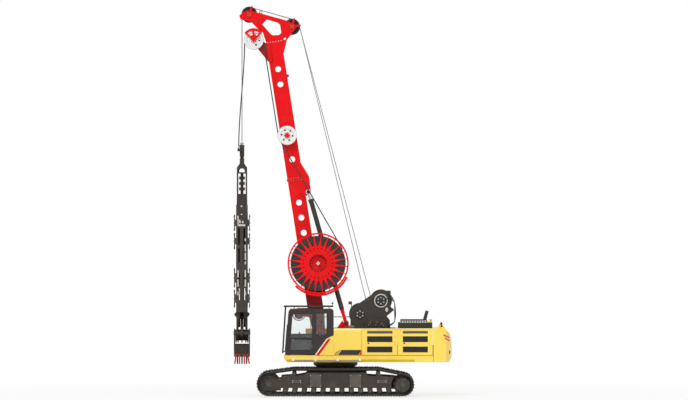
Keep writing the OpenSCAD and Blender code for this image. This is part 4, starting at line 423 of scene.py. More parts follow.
# Paints: material's name, colour (a setting or screen values), roughness, top of the dust, most dust, chips,
# and a second colour past a value of an axis
PAINTS = {
    "yellow": ("body_yellow", "body_yellow", 0.34, 1.9, 0.22),
    "ochre": ("deck_ochre", "deck_ochre", 0.4, 1.9, 0.3),
    "red": ("boom_red", "boom_red", 0.36, 3.0, 0.15),
    "dark_red": ("bracket_red", "bracket_red", 0.45, 3.0, 0.2),
    # Boom's lower part: darker red below 4 m as painted shade, boom red above
    "boom_foot": ("boom_foot_red", "bracket_red", 0.38, 3.0, 0.15, 0.0, ("boom_red", "Z", 4.0)),
    # Wheel brackets and reel cradle: boom red, with their far parts (past -0.5 across) in the darker red as painted
    # shade
    "guard_red": ("wheel_guard_red", "boom_red", 0.4, 3.0, 0.15, 0.0, ("bracket_red", "Y", -0.5)),
    "orange": ("fitting_orange", (226, 150, 30), 0.45, 2.0, 0.1),
    "cover_grey": ("cover_grey", (84, 80, 77), 0.55, 1.4, 0.3),
    "grey": ("grab_grey", "grab_grey", 0.52, 2.6, 0.16, 0.5),
    "cab": ("cab_grey", "cab_grey", 0.36, 2.6, 0.2),
    "light_grey": ("light_grey", (196, 193, 190), 0.5, 2.0, 0.1),
    "guide_grey": ("guide_grey", (104, 99, 95), 0.5, 9.0, 0.3, 0.8),
    "luff_paint": ("luff_paint", "boom_red", 0.45, 3.0, 0.1, 0.0, ("grab_grey", "Z", 3.43)),
    "pale_grey": ("pale_grey", (122, 118, 114), 0.5, 2.0, 0.3),
    "white": ("wheel_white", "wheel_white", 0.4, 6.0, 0.1),
    "stripe_white": ("stripe_white", (244, 242, 236), 0.4, 2.0, 0.15),
    # Paler yellow: painted highlight on the top edge and the seams of the yellow panels
    "pale_yellow": ("edge_yellow", (255, 242, 172), 0.36, 1.9, 0.15),
}
MATERIALS = {}


def make_materials(paint, detail):
    def tone(given):
        return getattr(paint, given) if isinstance(given, str) else shade(*given)

    for key, (name, given, rough, top, most, *more) in PAINTS.items():
        if len(more) > 1:
            more[1] = (tone(more[1][0]), *more[1][1:])
        MATERIALS[key] = paint_finish(name, tone(given), paint.dust, rough, top, most, *more)
    MATERIALS.update({
        "track": track_finish(paint),
        "steel": steel_finish("bright_steel", paint.steel_grey, 0.28, (1.0, 1.0, 8.0)),
        "dark_steel": steel_finish("dark_steel", shade(60, 58, 57), 0.45, (1.0, 8.0, 1.0)),
        "rod": steel_finish("chrome_rod", shade(205, 206, 208), 0.14, (8.0, 8.0, 0.5)),
        "rope": rope_finish(detail.rope_lay),
        "hose": hose_finish(paint),
        "coil": coil_finish(paint),
        "glass": glass_finish(),
        "black": plastic_finish("trim_black", paint.trim_black, 0.5),
        "glass_dark": plastic_finish("display_glass", shade(24, 30, 34), 0.12),
        "seal": plastic_finish("window_seal", shade(18, 18, 19), 0.62),
        "cloth": cloth_finish(),
        "lens": lamp_finish(),
        "tail_red": plastic_finish("tail_red", shade(200, 24, 22), 0.2),
    })


NODE_FINISH = {
    "yellow": "deck_frame side_panel_left side_panel_right top_cover counterweight lift_eyes side_door_left_front "
              "side_door_left_rear side_door_right",
    "red": "boom_upper boom_head hose_reel teeth_near boom_foot_bracket",
    # boom_lower: darker red below 4 m as painted shade
    "boom_foot": "boom_lower",
    # Wheel brackets and reel cradle: far parts in darker red as painted shade
    "guard_red": "wheel_brackets reel_cradle",
    "luff_paint": "luff_barrels",
    "light_grey": "handrails",
    "guide_grey": "guide_plates",
    "grey": "car_body slew_ring track_frames hood winch_frame roof_guard front_guard drum_front drum_rear engine "
            "rope_block grab_head grab_frame jaw_cylinder crosshead link_near link_far jaw_near jaw_far teeth_far",
    "cab": "cab_shell door_frame",
    "track": "tracks idlers sprockets bottom_rollers carrier_rollers",
    "rod": "luff_rods",
    "dark_steel": "sheaves_front sheaves_rear",
    "rope": "boom_ropes hoist_ropes",
    "hose": "boom_hoses hanging_hoses",
    "coil": "reel_hose",
    "white": "hose_wheel_mid hose_wheel_top",
    "glass": "cab_glass door_glass",
    "black": "cab_interior",
}


# Mesh helpers

def finished(name, mesh, body, material, smooth=False):
    """A named piece from a mesh, riding on a body."""
    if material is not None:
        mesh.materials.clear()
        mesh.materials.append(MATERIALS[material])
    if smooth:
        mesh.shade_smooth()
    piece = bpy.data.objects.new(name, mesh)
    bpy.context.scene.collection.objects.link(piece)
    if body:
        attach(piece, body)
    return piece


def piece_of(name, bm, body, material, bevel=0.0, smooth=False):
    """A piece from a bmesh, with its edges eased."""
    bmesh.ops.remove_doubles(bm, verts=bm.verts, dist=1e-6)
    bmesh.ops.recalc_face_normals(bm, faces=bm.faces)
    if bevel:
        edges = [e for e in bm.edges if len(e.link_faces) == 2 and e.calc_face_angle(0) > 0.6]
        bmesh.ops.bevel(bm, geom=edges, offset=bevel, segments=2, profile=0.5, affect="EDGES", clamp_overlap=True)
    mesh = bpy.data.meshes.new(name)
    bm.to_mesh(mesh)
    bm.free()
    return finished(name, mesh, body, material, smooth)


def add_prism(bm, outline, low, high):
    """A flat outline drawn out between two places across."""
    a = [bm.verts.new((p[0], low, p[1])) for p in outline]
    b = [bm.verts.new((p[0], high, p[1])) for p in outline]
    n = len(outline)
    bm.faces.new(a)
    bm.faces.new(list(reversed(b)))
    for i in range(n):
        bm.faces.new((a[i], b[i], b[(i + 1) % n], a[(i + 1) % n]))


def add_box(bm, low, high):
    add_prism(bm, rect(low[0], low[2], high[0], high[2]), low[1], high[1])


def add_loft(bm, rows):
    """Faces between rows of corners, with both ends closed."""
    for a, b in zip(rows, rows[1:]):
        n = len(a)
        for k in range(n):
            bm.faces.new((a[k], a[(k + 1) % n], b[(k + 1) % n], b[k]))
    bm.faces.new(rows[0])
    bm.faces.new(rows[-1])


def add_lathe(bm, profile, centre, axis="y", steps=48):
    """A profile of (radius, along) points, turned about an axis through centre."""
    def place(radius, along, a):
        u, v = radius * math.cos(a), radius * math.sin(a)
        return Vector(centre) + Vector({"y": (u, along, v), "z": (u, v, along), "x": (along, u, v)}[axis])

    poles = {k: bm.verts.new(place(0, along, 0)) for k, (radius, along) in enumerate(profile) if not radius}
    rings = [[poles.get(k) or bm.verts.new(place(*p, 2 * math.pi * i / steps)) for k, p in enumerate(profile)]
             for i in range(steps)]
    n = len(profile)
    for i in range(steps):
        here, there = rings[i], rings[(i + 1) % steps]
        for k in range(n):
            corners = list(dict.fromkeys((here[k], here[(k + 1) % n], there[(k + 1) % n], there[k])))
            if len(corners) > 2:
                bm.faces.new(corners)


def add_cap(bm, centre, radius, thick, axis="y", sign=-1, steps=28):
    """A turned disc with an eased rim, standing out from centre along an axis."""
    ease = 0.3 * thick
    face = sign * thick
    add_lathe(bm, [(0, 0), (radius, 0), (radius, sign * (thick - ease)), (radius - ease, face), (0, face)],
              centre, axis, steps)


def grown(outline, by):
    """A flat outline with its edges moved outwards."""
    n = len(outline)
    points = [Vector(p) for p in outline]
    area = sum(points[i].x * points[(i + 1) % n].y - points[(i + 1) % n].x * points[i].y for i in range(n))
    turn = 1 if area > 0 else -1
    out = []
    for i in range(n):
        a = (points[i] - points[i - 1]).normalized()
        b = (points[(i + 1) % n] - points[i]).normalized()
        na, nb = Vector((a.y, -a.x)) * turn, Vector((b.y, -b.x)) * turn
        middle = (na + nb).normalized()
        out.append(points[i] + middle * (by / max(0.3, middle.dot(na))))
    return out


def add_border(bm, outline, width, low, high, plane="xz"):
    """A flat border round an outline."""
    def ring(points, t):
        return [bm.verts.new({"xz": (p[0], t, p[1]), "yz": (t, p[0], p[1])}[plane]) for p in points]
    outer = grown(outline, width)
    loops = [ring(outline, low), ring(outer, low), ring(outer, high), ring(outline, high)]
    n = len(outline)
    for k in range(4):
        a, b = loops[k], loops[(k + 1) % 4]
        for i in range(n):
            j = (i + 1) % n
            bm.faces.new((a[i], a[j], b[j], b[i]))


def ring_profile(inner, outer, low, high):
    return rect(inner, low, outer, high)


def bolts_round(at, radius, count, y, side, start=0.0):
    """Places of a bolt circle about an axis across the machine."""
    return [((p[0], y, p[1]), (0, side, 0)) for p in circle(at, radius, count, start)]


def tube(name, points, radius, sides=10, cap=True):
    """A tube along points, with its length and turn kept in a UV map named along."""
    points = [Vector(p) for p in points]
    bm = bmesh.new()
    uv = bm.loops.layers.uv.new("along")
    tangents = []
    for i, p in enumerate(points):
        ahead = points[min(i + 1, len(points) - 1)] - points[max(i - 1, 0)]
        tangents.append(ahead.normalized())
    side = tangents[0].orthogonal().normalized()
    rings, run = [], [0.0]
    for i, p in enumerate(points):
        if i:
            side = (tangents[i - 1].rotation_difference(tangents[i])) @ side
            run.append(run[-1] + (p - points[i - 1]).length)
        up = tangents[i].cross(side)
        rings.append([bm.verts.new(p + radius * (math.cos(a) * side + math.sin(a) * up))
                      for a in (2 * math.pi * k / sides for k in range(sides))])
    for i in range(len(points) - 1):
        for k in range(sides):
            j = (k + 1) % sides
            face = bm.faces.new((rings[i][k], rings[i][j], rings[i + 1][j], rings[i + 1][k]))
            corners = ((run[i], k), (run[i], k + 1), (run[i + 1], k + 1), (run[i + 1], k))
            for loop, (u, v) in zip(face.loops, corners):
                loop[uv].uv = (u, v / sides)
    if cap:
        bm.faces.new(list(reversed(rings[0])))
        bm.faces.new(rings[-1])
    mesh = bpy.data.meshes.new(name)
    bm.to_mesh(mesh)
    bm.free()
    mesh.shade_smooth()
    return mesh


def joined(name, meshes):
    """Several meshes as one, with their UV maps kept."""
    bm = bmesh.new()
    for mesh in meshes:
        bm.from_mesh(mesh)
        bpy.data.meshes.remove(mesh)
    out = bpy.data.meshes.new(name)
    bm.to_mesh(out)
    bm.free()
    return out


def straight(p, q, step):
    p, q = Vector(p), Vector(q)
    n = max(1, int((q - p).length / step))
    return [p.lerp(q, i / n) for i in range(n + 1)]


# Geometry Nodes

class Pattern:
    """A small Geometry Nodes tree with named sizes, which ends in real meshes with a material."""

    def __init__(self, name, sizes):
        self.tree = bpy.data.node_groups.new(name, "GeometryNodeTree")
        face = self.tree.interface
        face.new_socket("Geometry", in_out="INPUT", socket_type="NodeSocketGeometry")
        self.ids = {}
        for label, kind in sizes.items():
            self.ids[label] = face.new_socket(label, in_out="INPUT", socket_type=kind).identifier
        self.ids["Material"] = face.new_socket("Material", in_out="INPUT",
                                               socket_type="NodeSocketMaterial").identifier
        face.new_socket("Geometry", in_out="OUTPUT", socket_type="NodeSocketGeometry")
        self.given = self.tree.nodes.new("NodeGroupInput")

    def add(self, kind, settings=None, inputs=None):
        made = self.tree.nodes.new(kind)
        for key, value in (settings or {}).items():
            setattr(made, key, value)
        for key, value in (inputs or {}).items():
            if isinstance(value, bpy.types.NodeSocket):
                self.tree.links.new(value, made.inputs[key])
            else:
                made.inputs[key].default_value = value
        return made

    def size(self, label):
        return self.given.outputs[label]

    def close(self, geometry):
        real = self.add("GeometryNodeRealizeInstances", None, {0: geometry})
        done = self.add("GeometryNodeSetMaterial", None, {0: real.outputs[0], "Material": self.size("Material")})
        out = self.tree.nodes.new("NodeGroupOutput")
        self.tree.links.new(done.outputs[0], out.inputs[0])
        return self

    def bake(self, name, base, material, **sizes):
        """Runs the tree on a base mesh and returns the result as a plain mesh."""
        carrier = bpy.data.objects.new(name + "_base", base)
        bpy.context.scene.collection.objects.link(carrier)
        modifier = carrier.modifiers.new("pattern", "NODES")
        modifier.node_group = self.tree
        for label, value in sizes.items():
            modifier[self.ids[label.replace("_", " ")]] = value
        modifier[self.ids["Material"]] = MATERIALS[material]
        bpy.context.view_layer.update()
        depsgraph = bpy.context.evaluated_depsgraph_get()
        mesh = bpy.data.meshes.new_from_object(carrier.evaluated_get(depsgraph))
        carrier.modifiers.remove(modifier)
        bpy.data.objects.remove(carrier)
        mesh.name = name
        return mesh


PATTERNS = {}


def make_patterns():
    bolts = Pattern("bolt_heads", {"Head radius": "NodeSocketFloat", "Head height": "NodeSocketFloat"})
    facing = bolts.add("GeometryNodeInputNamedAttribute", {"data_type": "FLOAT_VECTOR"}, {"Name": "facing"})
    turn = bolts.add("FunctionNodeAlignRotationToVector", {"axis": "Z"}, {"Vector": facing.outputs[0]})
    head = bolts.add("GeometryNodeMeshCylinder", None, {"Vertices": 6, "Radius": bolts.size("Head radius"),
                                                        "Depth": bolts.size("Head height")})
    wide = bolts.add("ShaderNodeMath", {"operation": "MULTIPLY"}, {0: bolts.size("Head radius"), 1: 1.35})
    thin = bolts.add("ShaderNodeMath", {"operation": "MULTIPLY"}, {0: bolts.size("Head height"), 1: 0.3})
    washer = bolts.add("GeometryNodeMeshCylinder", None, {"Vertices": 12, "Radius": wide.outputs[0],
                                                          "Depth": thin.outputs[0]})
    both = bolts.add("GeometryNodeJoinGeometry")
    for part in (head, washer):
        bolts.tree.links.new(part.outputs[0], both.inputs[0])
    spread = bolts.add("GeometryNodeInstanceOnPoints", None, {"Points": bolts.given.outputs[0],
                                                              "Instance": both.outputs[0],
                                                              "Rotation": turn.outputs[0]})
    PATTERNS["bolts"] = bolts.close(spread.outputs[0])

    turns = Pattern("wound_turns", {"Coil radius": "NodeSocketFloat", "Rope radius": "NodeSocketFloat"})
    ring = turns.add("GeometryNodeCurvePrimitiveCircle", None, {"Resolution": 56,
                                                                "Radius": turns.size("Coil radius")})
    section = turns.add("GeometryNodeCurvePrimitiveCircle", None, {"Resolution": 8,
                                                                   "Radius": turns.size("Rope radius")})
    rope = turns.add("GeometryNodeCurveToMesh", None, {0: ring.outputs[0], 1: section.outputs[0]})
    spread = turns.add("GeometryNodeInstanceOnPoints", None, {"Points": turns.given.outputs[0],
                                                              "Instance": rope.outputs[0],
                                                              "Rotation": (math.pi / 2, 0, 0)})
    PATTERNS["turns"] = turns.close(spread.outputs[0])

    slats = Pattern("louvre_slats", {"Slat": "NodeSocketVector"})
    slat = slats.add("GeometryNodeMeshCube", None, {"Size": slats.size("Slat")})
    spread = slats.add("GeometryNodeInstanceOnPoints", None, {"Points": slats.given.outputs[0],
                                                              "Instance": slat.outputs[0]})
    PATTERNS["slats"] = slats.close(spread.outputs[0])

    chain = Pattern("chain_links", {"Count": "NodeSocketInt", "Pin radius": "NodeSocketFloat",
                                    "Pin length": "NodeSocketFloat"})
    path = chain.add("GeometryNodeMeshToCurve", None, {0: chain.given.outputs[0]})
    even = chain.add("GeometryNodeResampleCurve", None, {"Curve": path.outputs[0], "Count": chain.size("Count")})
    pin = chain.add("GeometryNodeMeshCylinder", None, {"Vertices": 10, "Radius": chain.size("Pin radius"),
                                                       "Depth": chain.size("Pin length")})
    spread = chain.add("GeometryNodeInstanceOnPoints", None, {"Points": even.outputs[0],
                                                              "Instance": pin.outputs[0],
                                                              "Rotation": (math.pi / 2, 0, 0)})
    PATTERNS["chain"] = chain.close(spread.outputs[0])


def point_mesh(name, points, facing=None, edges=()):
    mesh = bpy.data.meshes.new(name)
    mesh.from_pydata([tuple(p) for p in points], list(edges), [])
    if facing is not None:
        attribute = mesh.attributes.new("facing", "FLOAT_VECTOR", "POINT")
        for i, v in enumerate(facing):
            attribute.data[i].vector = v
    return mesh


def bolt_piece(name, places, body, material, radius, height):
    """Bolt heads at (point, facing) places, as one piece."""
    points = [Vector(p) + Vector(f) * height * 0.35 for p, f in places]
    mesh = PATTERNS["bolts"].bake(name, point_mesh(name + "_points", points, [f for _, f in places]), material,
                                  Head_radius=radius, Head_height=height)
    return finished(name, mesh, body, None)


# Operators: one for each group of pieces

class WALLGRAB_OT_paint(bpy.types.Operator):
    """Make the finishes and paint the machine's own parts"""
    bl_idname = "wallgrab.paint"
    bl_label = "Paint the parts"

    def execute(self, context):
        make_materials(context.scene.wall_grab_paint, context.scene.wall_grab_detail)
        make_patterns()
        for finish, names in NODE_FINISH.items():
            for name in names.split():
                slots = NODES[name].material_slots
                if not slots:
                    NODES[name].data.materials.append(MATERIALS[finish])
                for s in slots:
                    s.material = MATERIALS[finish]
        return {"FINISHED"}


def winch_rope_path(drum, wound, y):
    """From the drum up to the rear sheave, over the head and round the front sheave."""
    back = touch_angle(drum, wound, REAR_SHEAVE, ROPE_LINE_R)
    over = touch_angle(REAR_SHEAVE, ROPE_LINE_R, FRONT_SHEAVE, ROPE_LINE_R)
    low, high = on_circle(drum, wound, back), on_circle(REAR_SHEAVE, ROPE_LINE_R, back)
    flat = straight((*low, 0), (*high, 0), 0.25)
    for centre, a, b in ((REAR_SHEAVE, back, over), (FRONT_SHEAVE, over, math.pi)):
        while b < a:
            b += 2 * math.pi
        n = max(4, int((b - a) / 0.12))
        flat += [(*on_circle(centre, ROPE_LINE_R, a + (b - a) * i / n), 0) for i in range(n + 1)]
    clean = [flat[0]]
    for p in flat[1:]:
        if (Vector(p) - Vector(clean[-1])).length > 1e-4:
            clean.append(p)
    return [(p[0], y, p[1]) for p in clean], (low[0], y, low[1]), (high[0], y, high[1])


class WALLGRAB_OT_ropes(bpy.types.Operator):
    """Winch ropes over the head, hoist ropes with their sockets, and rope on the drums"""
    bl_idname = "wallgrab.ropes"
    bl_label = "Ropes"

    def execute(self, context):
        wound = DRUM_R + ROPE_R
        for name, drum, radius, y in (("winch_rope_front", FRONT_DRUM, wound, -ROPE_Y),
                                      ("winch_rope_rear", REAR_DRUM, -wound, ROPE_Y)):
            path, low, high = winch_rope_path(drum, radius, y)
            mesh = tube(name, path, ROPE_R, 10)
            piece = finished(name, mesh, None, "rope")
            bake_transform(piece)
            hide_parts("boom_ropes")
        meshes = []
        for y in (-ROPE_Y, ROPE_Y):
            path = straight((GRAB_X, y, BLOCK_TOP + 0.06), (GRAB_X, y, FRONT_SHEAVE[1]), 0.3)
            meshes.append(tube("rope", path, ROPE_R, 10))
        ropes = finished("hoist_rope_pair", joined("hoist_rope_pair", meshes), "hanger", "rope")
        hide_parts("hoist_ropes")
        # Spelter sockets with their pins on the block
        bm = bmesh.new()
        for y in (-ROPE_Y, ROPE_Y):
            add_lathe(bm, [(0, -0.02), (0.048, -0.02), (0.05, 0.03), (0.042, 0.09), (0.024, 0.15), (0.018, 0.158),
                           (0, 0.158)], (GRAB_X, y, BLOCK_TOP), "z", 24)
            add_lathe(bm, [(0, -0.075), (0.02, -0.075), (0.02, 0.075), (0, 0.075)],
                      (GRAB_X, y, BLOCK_TOP + 0.03), "x", 16)
        piece_of("rope_sockets", bm, "hanger", "steel")
        # Turns on the drums
        for body, drum in DRUMS.items():
            half, pitch = 0.415, 2.08 * ROPE_R
            n = int(2 * half / pitch)
            points = [(drum[0], -half + (i + 0.5) * 2 * half / n, drum[1]) for i in range(n)]
            mesh = PATTERNS["turns"].bake(body + "_rope", point_mesh("turn_points", points), "rope",
                                          Coil_radius=DRUM_R + ROPE_R, Rope_radius=ROPE_R)
            mesh.uv_layers.new(name="along")
            mesh.shade_smooth()
            finished(body + "_rope", mesh, body, None)
        return {"FINISHED"}


def hose_foot(side):
    """A hose's end on the rope block."""
    return Vector((GRAB_X - 0.128, -0.230 + side * HOSE_PITCH, BLOCK_TOP - 0.160))


def hose_path(side):
    """The run from the reel past the middle wheel and over the top wheel, and the run that hangs to the block."""
    coil = PACK_R + HOSE_R
    first = touch_angle(REEL, coil, MID_WHEEL, -MID_WHEEL_LINE)
    second = touch_angle(MID_WHEEL, -MID_WHEEL_LINE, TOP_WHEEL, TOP_WHEEL_LINE)
    off = side * HOSE_PITCH
    reel_y = sum(REEL_SIDES) / 2 + off
    mid_y, top_y = MID_WHEEL_Y + off, TOP_WHEEL_Y + off
    path = []

    def add(flat, y):
        p = boom_at(flat)
        if not path or (Vector((p[0], y, p[1])) - path[-1]).length > 0.004:
            path.append(Vector((p[0], y, p[1])))

    def run(p, q, y0, y1, n):
        for i in range(n + 1):
            t = i / n
            add(Vector(p).lerp(Vector(q), t), y0 + (y1 - y0) * eased(t))

    run(on_circle(REEL, coil, first), on_circle(MID_WHEEL, -MID_WHEEL_LINE, first), reel_y, mid_y, 24)
    for i in range(9):
        add(on_circle(MID_WHEEL, -MID_WHEEL_LINE, first + (second - first) * i / 8), mid_y)
    run(on_circle(MID_WHEEL, -MID_WHEEL_LINE, second), on_circle(TOP_WHEEL, TOP_WHEEL_LINE, second),
        mid_y, top_y, 20)
    last = math.pi - BOOM_LEAN
    for i in range(25):
        add(on_circle(TOP_WHEEL, TOP_WHEEL_LINE, second + (last - second) * i / 24), top_y)
    start, end, n = path[-1].copy(), hose_foot(side), 36
    hanging = [start]
    for i in range(1, n + 1):
        point = start.lerp(end, eased(i / n))
        point.z = start.z + (end.z - start.z) * i / n
        hanging.append(point)
    return path, hanging


class WALLGRAB_OT_hoses(bpy.types.Operator):
    """The two hydraulic hoses, the hose wound on the reel, and their fittings"""
    bl_idname = "wallgrab.hoses"
    bl_label = "Hoses"

    def execute(self, context):
        on_boom, free = [], []
        for side in (-0.5, 0.5):
            path, hanging = hose_path(side)
            on_boom.append(tube("hose", path, HOSE_R, 12))
            free.append(tube("hose", hanging, HOSE_R, 12))
        hoses = finished("boom_hose_pair", joined("boom_hose_pair", on_boom), "boom", "hose")
        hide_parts("boom_hoses")
        hoses = finished("grab_hose_pair", joined("grab_hose_pair", free), None, "hose")
        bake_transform(hoses)
        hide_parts("hanging_hoses")
        bm = bmesh.new()
        for side in (-0.5, 0.5):
            add_lathe(bm, [(0, 0.0), (0.024, 0.0), (0.024, 0.03), (0.0235, 0.09), (0.0225, 0.1), (0, 0.1)],
                      hose_foot(side), "z", 18)
        piece_of("hose_ferrules", bm, "hanger", "steel")
        # Wound hose: rounded turns on both faces and round the outside
        hub, low, high = 0.386, REEL_SIDES[1] + 0.046, REEL_SIDES[0] - 0.046
        layers, turns, points = 16, 7, 5
        step, pitch, outer = (PACK_R - hub) / layers, (high - low) / turns, PACK_R - 0.02
        profile = [(hub, high), (hub, low)]

        def bulge(a, b, axis, sign):
            """Points over one rounded turn, from after a up to b."""
            for i in range(1, points):
                t = i / points
                p = [a[0] + (b[0] - a[0]) * t, a[1] + (b[1] - a[1]) * t]
                p[1 - axis] += math.sin(math.pi * t) * 0.42 * abs(b[axis] - a[axis]) * sign
                profile.append(tuple(p))
            profile.append(b)

        for i in range(layers):
            bulge((hub + i * step, low), (hub + (i + 1) * step, low), 0, -1)
        for i in range(turns):
            bulge((outer, low + i * pitch), (outer, low + (i + 1) * pitch), 1, 1)
        for i in range(layers):
            bulge((PACK_R - i * step, high), (PACK_R - (i + 1) * step, high), 0, 1)
        profile.pop()
        bm = bmesh.new()
        centre = boom_at(REEL)
        add_lathe(bm, profile, (centre[0], 0, centre[1]), "y", 96)
        coil = piece_of("wound_hose", bm, "reel", "coil", smooth=True)
        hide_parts("reel_hose")
        return {"FINISHED"}


# Tracks: wheels that carry the chain, as (x, z, radius to its middle line)
CHAIN = ((-2.95, 0.5, 0.416), (2.38, 0.47, 0.386), (1.408, 0.944, 0.112), (-1.948, 0.944, 0.112))
SHOES = 62
CHAIN_STEPS = 4 * SHOES
SHOE_FACE = 0.054
LINK_Y = 0.1
GAUGE_Y = 1.75
FRAME_Y = GAUGE_Y + 0.26
COVER_Y = FRAME_Y + 0.022
ROLLERS = [(-2.296 + i * (1.832 + 2.296) / 11, 0.226) for i in range(12)]


def chain_parts():
    """Arcs and straight runs of the chain's middle line, as (length, angle, turn, centre, radius)."""
    n = len(CHAIN)
    normals = [touch_angle(a[:2], a[2], b[:2], b[2]) for a, b in zip(CHAIN, CHAIN[1:] + CHAIN[:1])]
    parts = []
    for i, (x, z, r) in enumerate(CHAIN):
        turn = (normals[i] - normals[i - 1]) % (2 * math.pi)
        after = CHAIN[(i + 1) % n]
        run = on_circle(after, after[2], normals[i]) - on_circle((x, z), r, normals[i])
        parts += [(r * turn, normals[i] - turn, turn, (x, z), r), (run.length, normals[i], 0.0, (x, z), r)]
    return parts


def chain_point(parts, share):
    """A place on the chain by share of the loop, and the way out of the loop there."""
    rest = share % 1 * sum(p[0] for p in parts)
    for length_now, angle, turn, centre, radius in parts:
        if rest <= length_now:
            break
        rest -= length_now
    angle += turn * rest / length_now
    out = Vector((math.cos(angle), math.sin(angle)))
    point = on_circle(centre, radius, angle)
    return (point if turn else point + rest * Vector((-out.y, out.x))), out


class WALLGRAB_OT_undercarriage(bpy.types.Operator):
    """Shoe bolts, chain pins, roller caps and covers of the tracks"""
    bl_idname = "wallgrab.undercarriage"
    bl_label = "Undercarriage"

    def execute(self, context):
        detail = context.scene.wall_grab_detail
        parts = chain_parts()
        places = []
        for i in range(SHOES):
            for s in (0.42, 0.58):
                p, out = chain_point(parts, (i + s) / SHOES)
                face = p + out * SHOE_FACE
                places += [((face.x, side * GAUGE_Y + y, face.y), (out.x, 0, out.y)) for side in SIDES
                           for y in (-LINK_Y, LINK_Y)]
        bolt_piece("shoe_bolts", places, "undercarriage", "track", 0.75 * detail.bolt_r, detail.bolt_h)
        meshes = []
        for side in SIDES:
            line = [chain_point(parts, k / CHAIN_STEPS)[0] for k in range(CHAIN_STEPS)]
            base = point_mesh("chain_line", [(p.x, side * GAUGE_Y, p.y) for p in line],
                              edges=[(k, (k + 1) % CHAIN_STEPS) for k in range(CHAIN_STEPS)])
            meshes.append(PATTERNS["chain"].bake("pins", base, "steel", Count=SHOES, Pin_radius=0.02,
                                                 Pin_length=0.3))
        finished("chain_pins", joined("chain_pins", meshes), "undercarriage", "track")
        # Caps on the wheels' and rollers' pins, outside the frames
        bm = bmesh.new()
        bolts = []
        for side in SIDES:
            for x, z in ROLLERS + [(c[0], c[1]) for c in CHAIN[2:]]:
                add_cap(bm, (x, side * FRAME_Y, z), 0.052, 0.016, "y", side, 20)
                bolts.append(((x, side * (FRAME_Y + 0.016), z), (0, side, 0)))
            for (x, z, _), wide, out in ((CHAIN[0], 0.115, FRAME_Y), (CHAIN[1], 0.085, COVER_Y)):
                add_cap(bm, (x, side * out, z), wide, 0.022, "y", side, 32)
                bolts += bolts_round((x, z), 0.62 * wide, 6, side * (out + 0.022), side)
        piece_of("track_pin_caps", bm, "undercarriage", "cover_grey")
        bolt_piece("track_cap_bolts", bolts, "undercarriage", "grey", 0.014, 0.009)
        # Covers over the cross beams' ends, and inspection plates on the frames
        bm = bmesh.new()
        bolts = []
        for side in SIDES:
            low, high = sorted((side * COVER_Y, side * (COVER_Y + 0.006)))
            for x in (-1.09, 0.49):
                add_box(bm, (x - 0.225, low, 0.39), (x + 0.225, high, 0.885))
                bolts += [((x + dx, side * (COVER_Y + 0.006), z), (0, side, 0)) for dx in (-0.195, 0.195)
                          for z in (0.42, 0.855)]
            low, high = sorted((side * FRAME_Y, side * (FRAME_Y + 0.006)))
            for x0, x1 in ((-2.03, -1.66), (1.36, 1.74)):
                add_box(bm, (x0, low, 0.55), (x1, high, 0.67))
                bolts += [((x, side * (FRAME_Y + 0.006), z), (0, side, 0)) for x in (x0 + 0.03, x1 - 0.03)
                          for z in (0.575, 0.645)]
        piece_of("track_frame_covers", bm, "undercarriage", "cover_grey", bevel=0.002)
        bolt_piece("track_cover_bolts", bolts, "undercarriage", "steel", 0.014, 0.01)
        # Bolt circle under the deck
        ring = [((*p, 1.245), (0, 0, -1)) for p in circle((-0.3, 0.0), 0.83, 48)]
        bolt_piece("slew_ring_bolts", ring, "undercarriage", "steel", 0.018, 0.02)
        return {"FINISHED"}


# Bodywork: doors as (body, first x, last x, side), and the grilles' shares of a door's height
DOORS = (("left_front_door", 0.752, 2.173, -1), ("left_rear_door", 2.179, 3.582, -1),
         ("right_door", 0.752, 3.582, 1))
DOOR_ZS = (1.642, 2.662)
GRILLES = (("black", 0.11, 0.34), ("black", 0.51, 0.74), ("pale_grey", 0.845, 0.95))
TAIL = (-0.3, 4.652)
DECK_FRONT, DECK_L = -2.348, 5.936


def on_tail(x, out):
    """Place across, on the left side or the rounded rear of the counterweight."""
    return -min(HALF_HOUSE, math.sqrt(TAIL[1] ** 2 - (x - TAIL[0]) ** 2)) - out


